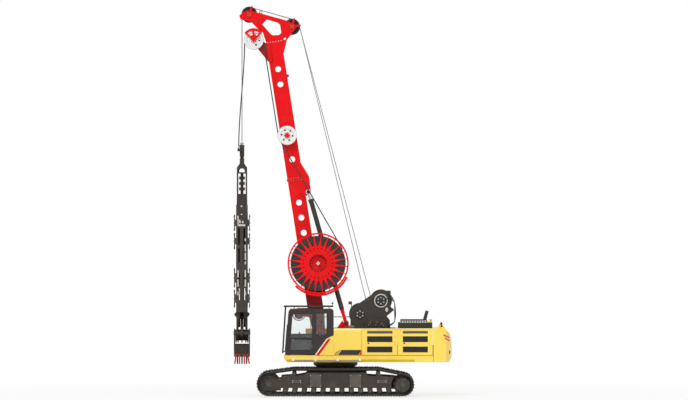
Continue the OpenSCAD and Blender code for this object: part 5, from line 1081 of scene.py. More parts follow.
class WALLGRAB_OT_bodywork(bpy.types.Operator):
    """Stripes, seams, painted highlights and shade, grilles, latches and plates of the house"""
    bl_idname = "wallgrab.bodywork"
    bl_label = "Bodywork"

    def execute(self, context):
        t = context.scene.wall_grab_detail.plate_t
        self.stripes(t)
        for body, x0, x1, side in DOORS:
            self.door(body, x0, x1, side, t)
        self.tail(t)
        self.hood()
        self.rail_clamps()
        self.treads()
        return {"FINISHED"}

    def stripes(self, t):
        """Flat bands on the panels: name, material, outlines, and whether the right side has them too."""
        (low_x, low_z), (high_x, high_z) = (-1.128, 1.64), (-0.66, 2.291)

        def band(a, b):
            """A stripe along the cab's slanted edge, from a to b behind it."""
            return [(low_x + a, low_z), (low_x + b, low_z), (high_x + b, high_z), (high_x + a, high_z)]

        z0, z1 = 1.648, 1.852
        slash = [[(x, z0), (x + 0.034, z0), (x + 0.034 + 0.13 * h, z0 + 0.204 * h), (x + 0.13 * h, z0 + 0.204 * h)]
                 for x, h in ((-0.275, 1.0), (-0.345, 0.72))]
        bands = (
            # Darker ochre along the deck's lower edge: painted shade
            ("deck_band", "ochre",
             [[(-2.2, 1.372), (2.85, 1.372), (2.85, 1.47), (-2.298, 1.47)]], True),
            # Paler yellow along the panels' top edge: painted highlight
            ("roof_edge_band", "pale_yellow",
             [[(-0.36, 2.63), (0.735, 2.63), (0.75, 2.672), (3.58, 2.672), (3.58, 2.7), (-0.36, 2.7)]], True),
            ("side_stripe_white", "stripe_white", [band(0.004, 0.052)], False),
            ("side_stripe_red", "red", [band(0.052, 0.178)], False),
            ("side_plate", "black",
             [[(-0.2, z0), (0.615, z0), (0.735, z1), (-0.06, z1)], *slash], False),
            ("side_plate_tip", "red", [[(0.628, z0), (0.745, z0), (0.745, z1)]], False),
            ("deck_seam", "black", [rect(-1.12, 1.621, 3.585, 1.633)], True),
            ("panel_seams", "ochre",
             [rect(-0.38, 1.645, -0.371, 2.42), rect(0.732, 1.86, 0.741, 2.66)], False),
            # Paler yellow on the seam's upper part: painted highlight
            ("tail_seam_top", "pale_yellow", [rect(3.592, 2.06, 3.612, 2.69)], True),
            ("tail_seam_low", "black", [rect(3.592, 1.38, 3.603, 2.05)], True),
        )
        for name, material, outlines, both in bands:
            bm = bmesh.new()
            for outline in outlines:
                add_prism(bm, outline, -HALF_HOUSE - t, -HALF_HOUSE + 0.0005)
                if both:
                    add_prism(bm, outline, HALF_HOUSE - 0.0005, HALF_HOUSE + t)
            piece_of(name, bm, "upper", material, bevel=0.0008)

    def door(self, body, x0, x1, side, t):
        """Backing, slats, latch and edge strips of one side door; the upper edge strip is a painted highlight."""
        inset = 0.145 * (x1 - x0)
        face, back = side * HALF_HOUSE, side * (HALF_HOUSE - 0.036)
        height_now = DOOR_ZS[1] - DOOR_ZS[0]
        bm = bmesh.new()
        for material in ("black", "pale_grey"):
            points = []
            for tone, a, b in GRILLES:
                low, high = (DOOR_ZS[0] + s * height_now for s in (a, b))
                if material == "black":
                    y0, y1 = sorted((back - side * 0.008, back + side * 0.002))
                    add_box(bm, (x0 + inset - 0.012, y0, low - 0.012), (x1 - inset + 0.012, y1, high + 0.012))
                if tone == material:
                    n = int((b - a) * height_now / 0.052)
                    points += [((x0 + x1) / 2, (face + back) / 2 + side * 0.0015,
                                low + (i + 0.5) * (high - low) / n) for i in range(n)]
            mesh = PATTERNS["slats"].bake("slats", point_mesh("slat_points", points), material,
                                          Slat=(x1 - x0 - 2 * inset - 0.004, 0.037, 0.027))
            finished(f"{body}_slats_{material}", mesh, body, None)
        piece_of(body + "_backing", bm, body, "black")
        bm = bmesh.new()
        for _, a, b in GRILLES:
            low, high = (DOOR_ZS[0] + s * height_now for s in (a, b))
            outline = rect(x0 + inset, low, x1 - inset, high)
            y0, y1 = sorted((face - side * 0.001, face + side * 0.004))
            add_border(bm, outline, 0.014, y0, y1)
        piece_of(body + "_grille_frames", bm, body, "yellow", bevel=0.001)
        bm = bmesh.new()
        at = (x0 + 0.26, face, 2.115)
        add_cap(bm, at, 0.034, 0.006, "y", side, 24)
        y0, y1 = sorted((face + side * 0.006, face + side * 0.013))
        add_box(bm, (at[0] - 0.012, y0, at[2] - 0.024), (at[0] + 0.012, y1, at[2] + 0.024))
        piece_of(body + "_latch", bm, body, "black", bevel=0.001)
        y0, y1 = sorted((face - side * 0.0005, face + side * t))
        # The upper strip of the door's edge is paler yellow as a painted highlight
        for name, material, z0, z1, w in (("edge_top", "pale_yellow", 2.06, 2.655, 0.018),
                                          ("edge_low", "black", 1.65, 2.05, 0.01)):
            bm = bmesh.new()
            add_box(bm, (x1 - 0.004 - w, y0, z0), (x1 - 0.004, y1, z1))
            piece_of(f"{body}_{name}", bm, body, material, bevel=0.0008)

    def tail(self, t):
        """Slanted dashes that follow the rounded corner, tail lamps, and shackles in the lifting eyes."""
        bm = bmesh.new()
        for mirror in (1, -1):
            for (xa, za), (xb, zb) in (((4.0, 2.445), (4.25, 2.335)), ((4.05, 2.325), (4.256, 2.21))):
                n, thick = 14, 0.066
                rows = []
                for i in range(n + 1):
                    s = i / n
                    x, z = xa + (xb - xa) * s, za + (zb - za) * s
                    rows.append([bm.verts.new((x, mirror * on_tail(x, out), z + dz)) for out, dz in
                                 ((-0.001, -thick / 2), (t, -thick / 2), (t, thick / 2), (-0.001, thick / 2))])
                add_loft(bm, rows)
        piece_of("tail_dashes", bm, "upper", "red")
        lens, rims = bmesh.new(), bmesh.new()
        for y in (-0.95, 0.95):
            x = TAIL[0] + math.sqrt(TAIL[1] ** 2 - y ** 2) - 0.03
            add_lathe(rims, ring_profile(0.05, 0.07, 0, 0.05), (x, y, 1.75), "x", 28)
            add_lathe(lens, [(0, 0), (0.05, 0), (0.05, 0.034), (0.03, 0.044), (0, 0.047)], (x, y, 1.75), "x", 28)
        piece_of("tail_lamp_rims", rims, "upper", "black")
        piece_of("tail_lamp_lenses", lens, "upper", "tail_red")
        shackles = []
        for y in (-0.95, 0.95):
            loop = [(3.936 + 0.02 * math.cos(a), y + 0.072 * math.cos(a), 2.836 + 0.082 * math.sin(a))
                    for a in (2 * math.pi * k / 28 for k in range(29))]
            shackles.append(tube("shackle", loop, 0.017, 10, cap=False))
        finished("lift_shackles", joined("lift_shackles", shackles), "upper", "black")

    def hood(self):
        """Ribs on the hood's sides, its pale top rail, filler cap and louvres."""
        points = [(2.23 + i * 1.3 / 30, side * 1.154, 2.815) for i in range(31) for side in SIDES]
        mesh = PATTERNS["slats"].bake("hood_ribs", point_mesh("rib_points", points), "black",
                                      Slat=(0.016, 0.012, 0.2))
        finished("hood_ribs", mesh, "upper", None)
        bm = bmesh.new()
        bolts = []
        for side in SIDES:
            low, high = sorted((side * 1.132, side * 1.14))
            add_box(bm, (2.29, low, 2.928), (3.37, high, 3.012))
            bolts += [((2.33 + i * 0.1, side * 1.14, 2.972), (0, side, 0)) for i in range(11)]
        piece_of("hood_rail", bm, "upper", "light_grey", bevel=0.002)
        bolt_piece("hood_rail_bolts", bolts, "upper", "black", 0.022, 0.01)
        bm = bmesh.new()
        add_lathe(bm, [(0, 0), (0.05, 0), (0.05, 0.04), (0.036, 0.05), (0.036, 0.1), (0.062, 0.105), (0.062, 0.135),
                       (0.05, 0.145), (0, 0.145)], (3.5, -1.04, 2.926), "z", 24)
        piece_of("filler_cap", bm, "upper", "ochre")
        bm = bmesh.new()
        for i in range(9):
            x = 2.32 + i * 0.12
            add_box(bm, (x, -0.9, 2.926), (x + 0.05, 0.9, 2.938))
        piece_of("hood_louvres", bm, "upper", "black", bevel=0.003)

    def rail_clamps(self):
        """Clamps that hold the deck's edge rail, and a small lamp on the cab guard's rear end."""
        bm = bmesh.new()
        for i in range(4):
            x = DECK_FRONT + DECK_L * (0.0613 + (0.5091 - 0.0613) * i / 3)
            add_box(bm, (x - 0.045, -1.578, 1.403), (x + 0.045, -HALF_HOUSE, 1.497))
        piece_of("rail_clamps", bm, "upper", "stripe_white", bevel=0.012)
        bm = bmesh.new()
        add_box(bm, (-0.424, -1.452, 3.6), (-0.408, -1.428, 3.68))
        add_box(bm, (-0.452, -1.475, 3.672), (-0.38, -1.405, 3.745))
        piece_of("guard_lamp", bm, "upper", "black", bevel=0.008)

    def treads(self):
        """Anti-slip plates on the cover and the tool box, with studs."""
        bm = bmesh.new()
        studs = []
        for x0, x1, y0, y1, z in ((0.45, 2.1, -1.42, -0.72, HOUSE_TOP), (0.45, 2.1, 0.72, 1.42, HOUSE_TOP),
                                  (-2.16, -1.54, 0.72, 1.44, 1.996)):
            add_box(bm, (x0, y0, z - 0.001), (x1, y1, z + 0.005))
            nx, ny = int((x1 - x0) / 0.12), int((y1 - y0) / 0.12)
            studs += [((x0 + (i + 0.5) * (x1 - x0) / nx, y0 + (j + 0.5) * (y1 - y0) / ny, z + 0.005), (0, 0, 1))
                      for i in range(nx) for j in range(ny)]
        piece_of("tread_plates", bm, "upper", "black", bevel=0.001)
        bolt_piece("tread_studs", studs, "upper", "pale_grey", 0.015, 0.006)


# Cab: places by share of its length from the front and of its height
CAB_Y = (-1.5, -0.48)
CAB_MID = sum(CAB_Y) / 2
CAB_FRONT, CAB_LENGTH, CAB_FLOOR, CAB_HEIGHT = -2.312, 1.936, 1.664, 1.82
CAB_RAKE = 0.152


def cab_at(along, up):
    return CAB_FRONT + CAB_LENGTH * along, CAB_FLOOR + CAB_HEIGHT * up


def screen_x(z):
    """The windscreen's place along the machine at a height."""
    return CAB_FRONT + CAB_RAKE * (z - CAB_FLOOR) / CAB_HEIGHT


def leaning(a0, a1, up0, up1):
    """A window that leans with the windscreen, as flat points."""
    (x0, z0), (x1, z1) = cab_at(a0, up0), cab_at(a1, up1)
    return [(x0 + CAB_RAKE * up0, z0), (x0 + CAB_RAKE * up1, z1), (x1, z1), (x1, z0)]


DOOR_WINDOW = leaning(0.0775, 0.5558, 0.3714, 0.8923)
DOOR_LOW_WINDOW = leaning(0.0981, 0.5455, 0.0989, 0.3297)
REAR_WINDOW = [cab_at(*p) for p in ((0.6405, 0.4198), (0.6405, 0.8989), (0.8554, 0.8989), (0.8554, 0.4505),
                                    (0.8244, 0.4198))]
RIGHT_WINDOW = leaning(0.0878, 0.8554, 0.4505, 0.8989)


def cushion(name, centre, size, tilt, crown, channels):
    """A crowned pad: rounded ends, sides drawn in between the corners, sewn channels across its face."""
    nx, ny = 34, 30
    half = Vector(size) / 2
    turn = Matrix.Rotation(tilt, 3, "Y")

    def outline(u, v):
        """Corners rounded off, and sides drawn in between them."""
        return Vector((half.x * u * (1 - 0.06 * abs(v) ** 8) * (1 - 0.05 * (1 - v * v)),
                       half.y * v * (1 - 0.06 * abs(u) ** 8) * (1 - 0.05 * (1 - u * u)), 0))

    bm = bmesh.new()
    layers = []
    for up in (1, -1):
        grid = []
        for i in range(nx + 1):
            row = []
            for j in range(ny + 1):
                u, v = 2 * i / nx - 1, 2 * j / ny - 1
                edge = (1 - abs(u) ** 6) * (1 - abs(v) ** 6)
                lift = half.z * (0.35 + 0.65 * edge ** 0.5)
                if up > 0:
                    lift += crown * (1 - u * u) * (1 - v * v)
                    groove = sum(math.exp(-((u - c) / 0.035) ** 2) for c in channels)
                    lift -= 0.014 * groove * edge
                    lift -= 0.012 * math.exp(-((abs(v) - 0.72) / 0.035) ** 2) * edge
                local = outline(u, v) * (0.985 if up < 0 else 1)
                local.z = up * lift
                row.append(bm.verts.new(Vector(centre) + turn @ local))
            grid.append(row)
        layers.append(grid)
    for grid in layers:
        for i in range(nx):
            for j in range(ny):
                bm.faces.new((grid[i][j], grid[i + 1][j], grid[i + 1][j + 1], grid[i][j + 1]))
    top, low = layers
    rim = ([(i, 0) for i in range(nx)] + [(nx, j) for j in range(ny)] + [(nx - i, ny) for i in range(nx)]
           + [(0, ny - j) for j in range(ny)])
    for (a, b), (c, d) in zip(rim, rim[1:] + rim[:1]):
        bm.faces.new((top[a][b], top[c][d], low[c][d], low[a][b]))
    piece = piece_of(name, bm, "upper", "cloth", smooth=True)
    subdivision = piece.modifiers.new("soften", "SUBSURF")
    subdivision.levels = subdivision.render_levels = 1
    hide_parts("cab_interior")
    # Piping round the seam
    points = []
    for i, j in rim + rim[:1]:
        local = outline(2 * i / nx - 1, 2 * j / ny - 1)
        local.z = 0.3 * half.z
        points.append(Vector(centre) + turn @ local)
    finished(name + "_piping", tube(name + "_piping", points, 0.006, 8, cap=False), "upper", "seal")


class WALLGRAB_OT_cab(bpy.types.Operator):
    """Seat, consoles, display, window seals, wiper, roof plate and lower door trim of the cab"""
    bl_idname = "wallgrab.cab"
    bl_label = "Cab"

    def execute(self, context):
        seal = context.scene.wall_grab_detail.seal_w
        cushion("seat_cushion", (-1.466, CAB_MID, 2.165), (0.54, 0.52, 0.11), 0.0, 0.022, (-0.45, 0.0, 0.45))
        cushion("seat_back", (-1.155, CAB_MID, 2.6), (0.74, 0.47, 0.085), math.atan2(-0.74, 0.16), 0.018,
                (-0.4, 0.1, 0.55))
        self.fittings()
        self.seals(seal)
        self.outside()
        return {"FINISHED"}

    def fittings(self):
        """Seat base, consoles with sticks, display on its post, floor mat and pedals."""
        bm = bmesh.new()
        add_prism(bm, [(-1.63, 1.728), (-1.23, 1.728), (-1.27, 1.86), (-1.27, 2.02), (-1.22, 2.1), (-1.68, 2.1),
                       (-1.6, 2.02), (-1.6, 1.86)], CAB_MID - 0.2, CAB_MID + 0.2)
        for side in SIDES:
            y = CAB_MID + side * 0.31
            add_prism(bm, [(-1.776, 2.2), (-1.74, 2.13), (-1.3, 2.13), (-1.28, 2.25), (-1.5, 2.3), (-1.74, 2.318)],
                      y - 0.05, y + 0.05)
            add_prism(bm, [(-1.52, 2.3), (-1.29, 2.28), (-1.28, 2.36), (-1.5, 2.37)], y - 0.04, y + 0.04)
        add_prism(bm, [(-2.116, 1.728), (-2.056, 1.728), (-2.07, 2.62), (-2.11, 2.62)], -0.66, -0.60)
        add_prism(bm, [(-2.15, 2.6), (-2.105, 2.585), (-2.075, 2.83), (-2.12, 2.845)], -0.87, -0.56)
        add_box(bm, (-2.2, -1.42, 1.724), (-1.25, -0.56, 1.736))
        # Pedals in front of the seat
        for y in (CAB_MID - 0.2, CAB_MID + 0.06):
            add_prism(bm, [(-2.06, 1.736), (-1.98, 1.736), (-2.05, 1.9), (-2.09, 1.9)], y, y + 0.14)
        desk = piece_of("cab_fittings", bm, "upper", "black", bevel=0.008)
        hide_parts("cab_interior")
        meshes = []
        for side in SIDES:
            y = CAB_MID + side * 0.31
            meshes.append(tube("stick", [(-1.69, y, 2.3), (-1.7, y, 2.38), (-1.715, y, 2.45)], 0.011, 12))
            grip = [(-1.712, y, 2.43), (-1.72, y, 2.47), (-1.738, y, 2.53), (-1.74, y, 2.56)]
            meshes.append(tube("grip", grip, 0.024, 14))
        sticks = finished("cab_sticks", joined("cab_sticks", meshes), "upper", "seal")
        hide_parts("cab_interior")
        bm = bmesh.new()
        add_prism(bm, [(-2.103, 2.605), (-2.0985, 2.604), (-2.0765, 2.81), (-2.081, 2.812)], -0.85, -0.58)
        piece_of("display_screen", bm, "upper", "glass_dark")

    def seals(self, width):
        for name, body, outlines, low, high in (
                ("door_seals", "cab_door", (DOOR_WINDOW, DOOR_LOW_WINDOW), CAB_Y[0] - 0.005, CAB_Y[0] + 0.03),
                ("rear_seal", "upper", (REAR_WINDOW,), CAB_Y[0] - 0.005, CAB_Y[0] + 0.035),
                ("right_seal", "upper", (RIGHT_WINDOW,), CAB_Y[1] - 0.035, CAB_Y[1] + 0.005)):
            bm = bmesh.new()
            for outline in outlines:
                add_border(bm, outline, width, low, high)
            piece_of(name, bm, body, "seal", bevel=0.002)
        # Back window, and the windscreen, whose border leans with the glass
        for name, up0, up1, front, back in (("back_seal", 0.4945, 0.8989, -0.41, -0.371),
                                            ("screen_seal", 0.0824, 0.9066, -0.004, 0.03)):
            bm = bmesh.new()
            z0, z1 = (CAB_FLOOR + CAB_HEIGHT * up for up in (up0, up1))
            add_border(bm, rect(CAB_Y[0] + 0.09, z0, CAB_Y[1] - 0.09, z1), width, front, back, "yz")
            if name == "screen_seal":
                for v in bm.verts:
                    v.co.x += screen_x(v.co.z)
            piece_of(name, bm, "upper", "seal", bevel=0.002)

    def outside(self):
        """Dark lower door lining, wiper, roof hatch, sleeves on the guard, door lock and hinge bolts."""
        bm = bmesh.new()
        add_prism(bm, grown(DOOR_LOW_WINDOW, 0.02), CAB_Y[0] + 0.036, CAB_Y[0] + 0.046)
        piece_of("door_lining", bm, "cab_door", "black", bevel=0.002)

        def screen(y, z):
            return screen_x(z) - 0.014, y, z

        arm = tube("wiper_arm", [screen(-0.99, 1.8), screen(-0.97, 2.1), screen(-0.93, 2.45)], 0.009, 8)
        blade = tube("wiper_blade", [screen(-0.97, 2.15), screen(-0.93, 2.45), screen(-0.88, 2.85)], 0.012, 8)
        finished("wiper", joined("wiper", [arm, blade]), "upper", "seal")
        bm = bmesh.new()
        add_box(bm, (-1.75, -1.3, 3.48), (-0.85, -0.68, 3.502))
        for y in (-1.18, -1.04, -0.94, -0.8):
            add_box(bm, (-1.66, y - 0.02, 3.5), (-0.94, y + 0.02, 3.512))
        piece_of("roof_hatch", bm, "upper", "cab", bevel=0.006)
        meshes = []
        for y in (-1.44, -0.54):
            meshes.append(tube("rail", straight((-2.356, y, 3.584), (-0.392, y, 3.584), 0.3), 0.03, 14))
            meshes.append(tube("bar", straight((-2.404, y, 1.722), (-2.29, y, 3.545), 0.3), 0.03, 14))
        finished("guard_sleeves", joined("guard_sleeves", meshes), "upper", "grey")
        bm = bmesh.new()
        x, z = cab_at(0.165, 0.325)
        add_cap(bm, (x, CAB_Y[0], z), 0.022, 0.01, "y", -1, 20)
        piece_of("door_lock", bm, "cab_door", "steel")
        bolts = [((-1.232, -1.512, 1.734 + s * 1.64 + dz), (0, -1, 0)) for s in (0.12, 0.5, 0.85)
                 for dz in (0.03, 0.09)]
        bolt_piece("door_hinge_bolts", bolts, "cab_door", "steel", 0.009, 0.006)


HALF_BOOM = (0.305, 0.32)
BOOM_HOLES = [3.526 + i * 0.612 for i in range(4)] + [7.11, 10.149, 10.761]
JOINT_S, HEAD_S = 6.308, 11.86
CYLINDER_FOOT = (0.12, 2.88)
CYLINDER_Y = 0.535
REEL_SPOKES = 24
BOOM_FACE = 0.331
# The reel's end wall in its hub, and the end of its axle, across
REEL_WALL_Y = REEL_SIDES[0] - 0.144
REEL_AXLE_END = REEL_SIDES[1] + 0.096


class WALLGRAB_OT_boom(bpy.types.Operator):
    """Hole rims, weld seams, bolts, covers and fittings of the boom, its cylinders, reels and wheels"""
    bl_idname = "wallgrab.boom"
    bl_label = "Boom"

    def execute(self, context):
        detail = context.scene.wall_grab_detail
        bm = bmesh.new()
        for s in BOOM_HOLES:
            p = boom_at((0, s))
            for side in SIDES:
                low, high = sorted((side * 0.318, side * BOOM_FACE))
                add_lathe(bm, ring_profile(0.118, 0.146, low, high), (p[0], 0, p[1]), "y", 40)
        piece_of("boom_hole_rims", bm, "boom", "red", bevel=0.003)
        # Weld seams along the corners, between foot, joint and head
        meshes = []
        for y in (-HALF_BOOM[1], HALF_BOOM[1]):
            for t in (-HALF_BOOM[0], HALF_BOOM[0]):
                for a, b in ((0.75, JOINT_S - 0.75 if t > 0 else JOINT_S - 0.05),
                             (JOINT_S + (0.68 if t > 0 else 0.05), HEAD_S - (0.55 if t > 0 else 0.02))):
                    meshes.append(tube("seam", [boom_point(t, y, s) for s in (a, (a + b) / 2, b)], 0.009, 8))
        # The seams take the boom's lower finish, with its painted shade below 4 m
        finished("boom_seams", joined("boom_seams", meshes), "boom", "boom_foot")
        # Bolts of the joint's flanges, from both sides
        up = Vector((-math.sin(BOOM_LEAN), 0, math.cos(BOOM_LEAN)))
        flange = [(-0.27 + i * 0.1, y) for y in (-0.339, 0.339) for i in range(6)]
        flange += [(-0.324, -0.26 + i * 0.104) for i in range(6)]
        bolts = [(boom_point(t, y, s), way) for t, y in flange
                 for s, way in ((JOINT_S + 0.04, up), (JOINT_S - 0.04, -up))]
        bolts += [(boom_point(-0.25 + i * 0.11, side * BOOM_FACE, HEAD_S + 0.004), (0, side, 0))
                  for i in range(6) for side in SIDES]
        bolt_piece("boom_joint_bolts", bolts, "boom", "light_grey", 0.7 * detail.bolt_r,
                   1.4 * detail.bolt_h)
        self.pin_covers(detail)
        self.reel(detail)
        self.wheel_lips()
        self.head_fittings()
        self.cable_reel()
        return {"FINISHED"}

    def pin_covers(self, detail):
        """Covers with crossed bolts on the sheaves' pins, and caps, gussets and forks of the luffing cylinders."""
        bm = bmesh.new()
        bolts = []
        cover_r, cover_t = 0.105, 0.045
        for at in (FRONT_SHEAVE, REAR_SHEAVE):
            for side in SIDES:
                face = side * (HALF_BOOM[1] + cover_t)
                add_cap(bm, (at[0], side * HALF_BOOM[1], at[1]), cover_r, cover_t, "y", side, 36)
                bolts.append(((at[0], face, at[1]), (0, side, 0)))
                bolts += bolts_round(at, 0.68 * cover_r, 4, face, side, math.pi / 4)
        piece_of("sheave_pin_covers", bm, "boom", "red")
        bolt_piece("sheave_pin_bolts", bolts, "boom", "pale_grey", 0.8 * detail.bolt_r, detail.bolt_h)
        bm = bmesh.new()
        high_pin = boom_at((0.44, 5.721))
        for side in SIDES:
            add_cap(bm, (high_pin[0], side * 0.6, high_pin[1]), 0.072, 0.016, "y", side, 28)
        piece_of("luff_head_pin_caps", bm, "boom", "dark_steel")
        bm = bmesh.new()
        for side in SIDES:
            add_cap(bm, (CYLINDER_FOOT[0], side * 0.633, CYLINDER_FOOT[1]), 0.085, 0.018, "y", side, 28)
            add_cap(bm, (BOOM_FOOT[0], side * 0.388, BOOM_FOOT[1]), 0.13, 0.02, "y", side, 32)
        piece_of("foot_pin_caps", bm, "upper", "dark_steel")
        bm = bmesh.new()
        for side in SIDES:
            low, high = sorted((side * 0.613, side * 0.633))
            add_prism(bm, [(-0.24, HOUSE_TOP), (0.0, HOUSE_TOP), (0.02, 2.9), (-0.02, 3.0)], low, high)
        piece_of("cylinder_foot_gussets", bm, "upper", "red", bevel=0.003)
        bm = bmesh.new()
        foot = Vector(CYLINDER_FOOT)
        way = (high_pin - foot).normalized()
        out = Vector((way.y, -way.x))
        fork = [(0.09, -0.07), (0.34, -0.062), (0.6, -0.085), (0.6, 0.085), (0.34, 0.062), (0.09, 0.07)]
        for side in SIDES:
            for y in (CYLINDER_Y - 0.047, CYLINDER_Y + 0.031):
                low, high = sorted((side * y, side * (y + 0.016)))
                add_prism(bm, [foot + way * u + out * v for u, v in fork], low, high)
        piece_of("cylinder_forks", bm, "luff_barrel", "red", bevel=0.003)

    def reel(self, detail):
        """Spoke roots, ribs, plugs, bolts, nut and rims of the hose reel, and hub bolts of the hose wheels."""
        centre = boom_at(REEL)
        roots, ribs, dots = bmesh.new(), bmesh.new(), bmesh.new()
        edge = [(0.63, 0.083), (0.665, 0.083), (0.74, 0.052), (0.86, 0.033)]
        root = [(u, -v) for u, v in edge] + edge[::-1]
        rib = rect(0.4, -0.009, 0.53, 0.009)
        for side, y in ((-1, REEL_SIDES[1]), (1, REEL_SIDES[0])):
            low, high = sorted((y + side * 0.003, y - side * 0.02))
            for k in range(REEL_SPOKES):
                turn = math.tau * k / REEL_SPOKES + BOOM_LEAN
                add_prism(roots, turned(root, centre, turn), low, high)
                add_prism(ribs, turned(rib, centre, turn + math.pi / REEL_SPOKES), low, high)
        piece_of("reel_spoke_roots", roots, "reel", "red", bevel=0.002)
        piece_of("reel_ribs", ribs, "reel", "dark_red", bevel=0.001)
        for p in circle(centre, 0.3, 16):
            add_cap(dots, (p[0], REEL_WALL_Y, p[1]), 0.032, 0.006, "y", -1, 16)
        piece_of("reel_hub_plugs", dots, "reel", "black")
        bolts = bolts_round(centre, 0.19, 8, REEL_WALL_Y, -1) + bolts_round(centre, 0.19, 8, REEL_SIDES[0], 1)
        bolt_piece("reel_bolts", bolts, "reel", "dark_red", 0.8 * detail.bolt_r, detail.bolt_h)
        bm = bmesh.new()
        add_prism(bm, circle(centre, 0.085, 4), REEL_AXLE_END - 0.05, REEL_AXLE_END + 0.001)
        piece_of("reel_axle_nut", bm, "boom", "light_grey", bevel=0.01)
        meshes = [tube("rim", hoop(centre, REEL_R, y, 120), 0.02, 10, cap=False)
                  for y in (REEL_SIDES[1] + 0.012, REEL_SIDES[0] - 0.012)]
        finished("reel_rims", joined("reel_rims", meshes), "reel", "red")
        for body, at, y, _ in WHEELS:
            places = [b for side in SIDES for b in bolts_round(boom_at(at), 0.105, 8, y + side * HALF_WHEEL, side)]
            bolt_piece(body + "_bolts", places, body, "black", 0.016, 0.012)

    def wheel_lips(self):
        """Grey beads round the hose wheels' faces, as painted shade on the white wheels' rims."""
        for body, at, y, r in WHEELS:
            meshes = [tube("lip", hoop(boom_at(at), r - 0.008, y + side * HALF_WHEEL, 72), 0.009, 8, cap=False)
                      for side in SIDES]
            finished(body + "_lips", joined(body + "_lips", meshes), body, "light_grey")

    def head_fittings(self):
        """Lifting ring, rear bracket, plate over the top wheel's arm, bead in the reel's cradle, and head pins."""
        ring = hoop((-3.286, 15.33), 0.05, 0.0, 32)
        finished("head_lifting_ring", tube("head_lifting_ring", ring, 0.014, 10, cap=False), "boom", "red")
        bm = bmesh.new()
        add_prism(bm, [(-2.27, 12.7), (-2.15, 12.76), (-2.16, 12.83), (-2.29, 12.85)], -0.05, 0.05)
        piece_of("boom_rear_bracket", bm, "boom", "red", bevel=0.004)
        bm = bmesh.new()
        add_prism(bm, [boom_at(p) for p in ((-0.296, 11.112), (-0.176, 11.102), (-0.176, 11.766), (-0.296, 11.85))],
                  -0.404, -0.396)
        piece_of("wheel_arm_plate", bm, "boom", "red", bevel=0.002)
        arc = [boom_at(on_circle(REEL, 1.2345, math.radians(216 + k * 110 / 60))) for k in range(61)]
        bead = [(p[0], REEL_SIDES[1] + 0.011, p[1]) for p in arc]
        finished("cradle_bead", tube("cradle_bead", bead, 0.0105, 8), "boom", "red")
        pins, rings = bmesh.new(), bmesh.new()
        at = boom_at((0.455, 11.91))
        for side in SIDES:
            add_cap(pins, (at[0], side * 0.3, at[1]), 0.05, 0.04, "y", side, 28)
            low, high = sorted((side * 0.3, side * 0.334))
            add_lathe(rings, ring_profile(0.05, 0.075, low, high), (at[0], 0, at[1]), "y", 36)
        piece_of("head_joint_pins", pins, "boom", "stripe_white")
        piece_of("head_joint_rings", rings, "boom", "dark_red")

    def cable_reel(self):
        """Small cable reel on a bracket in front of the boom, beside the cab."""
        x, z, y0, y1 = -1.76, 3.25, -0.38, -0.2
        spoke = [(0.06, -0.016), (0.235, -0.009), (0.235, 0.009), (0.06, 0.016)]
        bm = bmesh.new()
        for low in (y0, y1 - 0.012):
            add_lathe(bm, ring_profile(0.225, 0.26, low, low + 0.012), (x, 0, z), "y", 56)
            for k in range(8):
                add_prism(bm, turned(spoke, (x, z), k * math.pi / 4), low + 0.001, low + 0.011)
        add_lathe(bm, [(0, y0), (0.075, y0), (0.075, y1), (0, y1)], (x, 0, z), "y", 32)
        # Arm back to the boom's front plate
        arm = [(x, z - 0.06), (x + 0.46, z - 0.12), (x + 0.46, z + 0.12), (x, z + 0.06)]
        add_prism(bm, arm, y1 + 0.01, y1 + 0.03)
        add_lathe(bm, [(0, y1 - 0.005), (0.03, y1 - 0.005), (0.03, y1 + 0.03), (0, y1 + 0.03)], (x, 0, z), "y", 20)
        piece_of("cable_reel", bm, "boom", "red")
        bm = bmesh.new()
        add_lathe(bm, ring_profile(0.07, 0.19, y0 + 0.014, y1 - 0.014), (x, 0, z), "y", 56)
        piece_of("cable_winding", bm, "boom", "coil")


WINCH_Y = 0.52


def smooth_path(points, each=8):
    """A smooth curve through points."""
    pts = [Vector(p) for p in points]
    pts = [2 * pts[0] - pts[1], *pts, 2 * pts[-1] - pts[-2]]
    out = []
    for a, b, c, d in zip(pts, pts[1:], pts[2:], pts[3:]):
        for k in range(each):
            t = k / each
            out.append(0.5 * (2 * b + (c - a) * t + (2 * a - 5 * b + 4 * c - d) * t ** 2
                              + (3 * b - a - 3 * c + d) * t ** 3))
    return out + [pts[-2]]


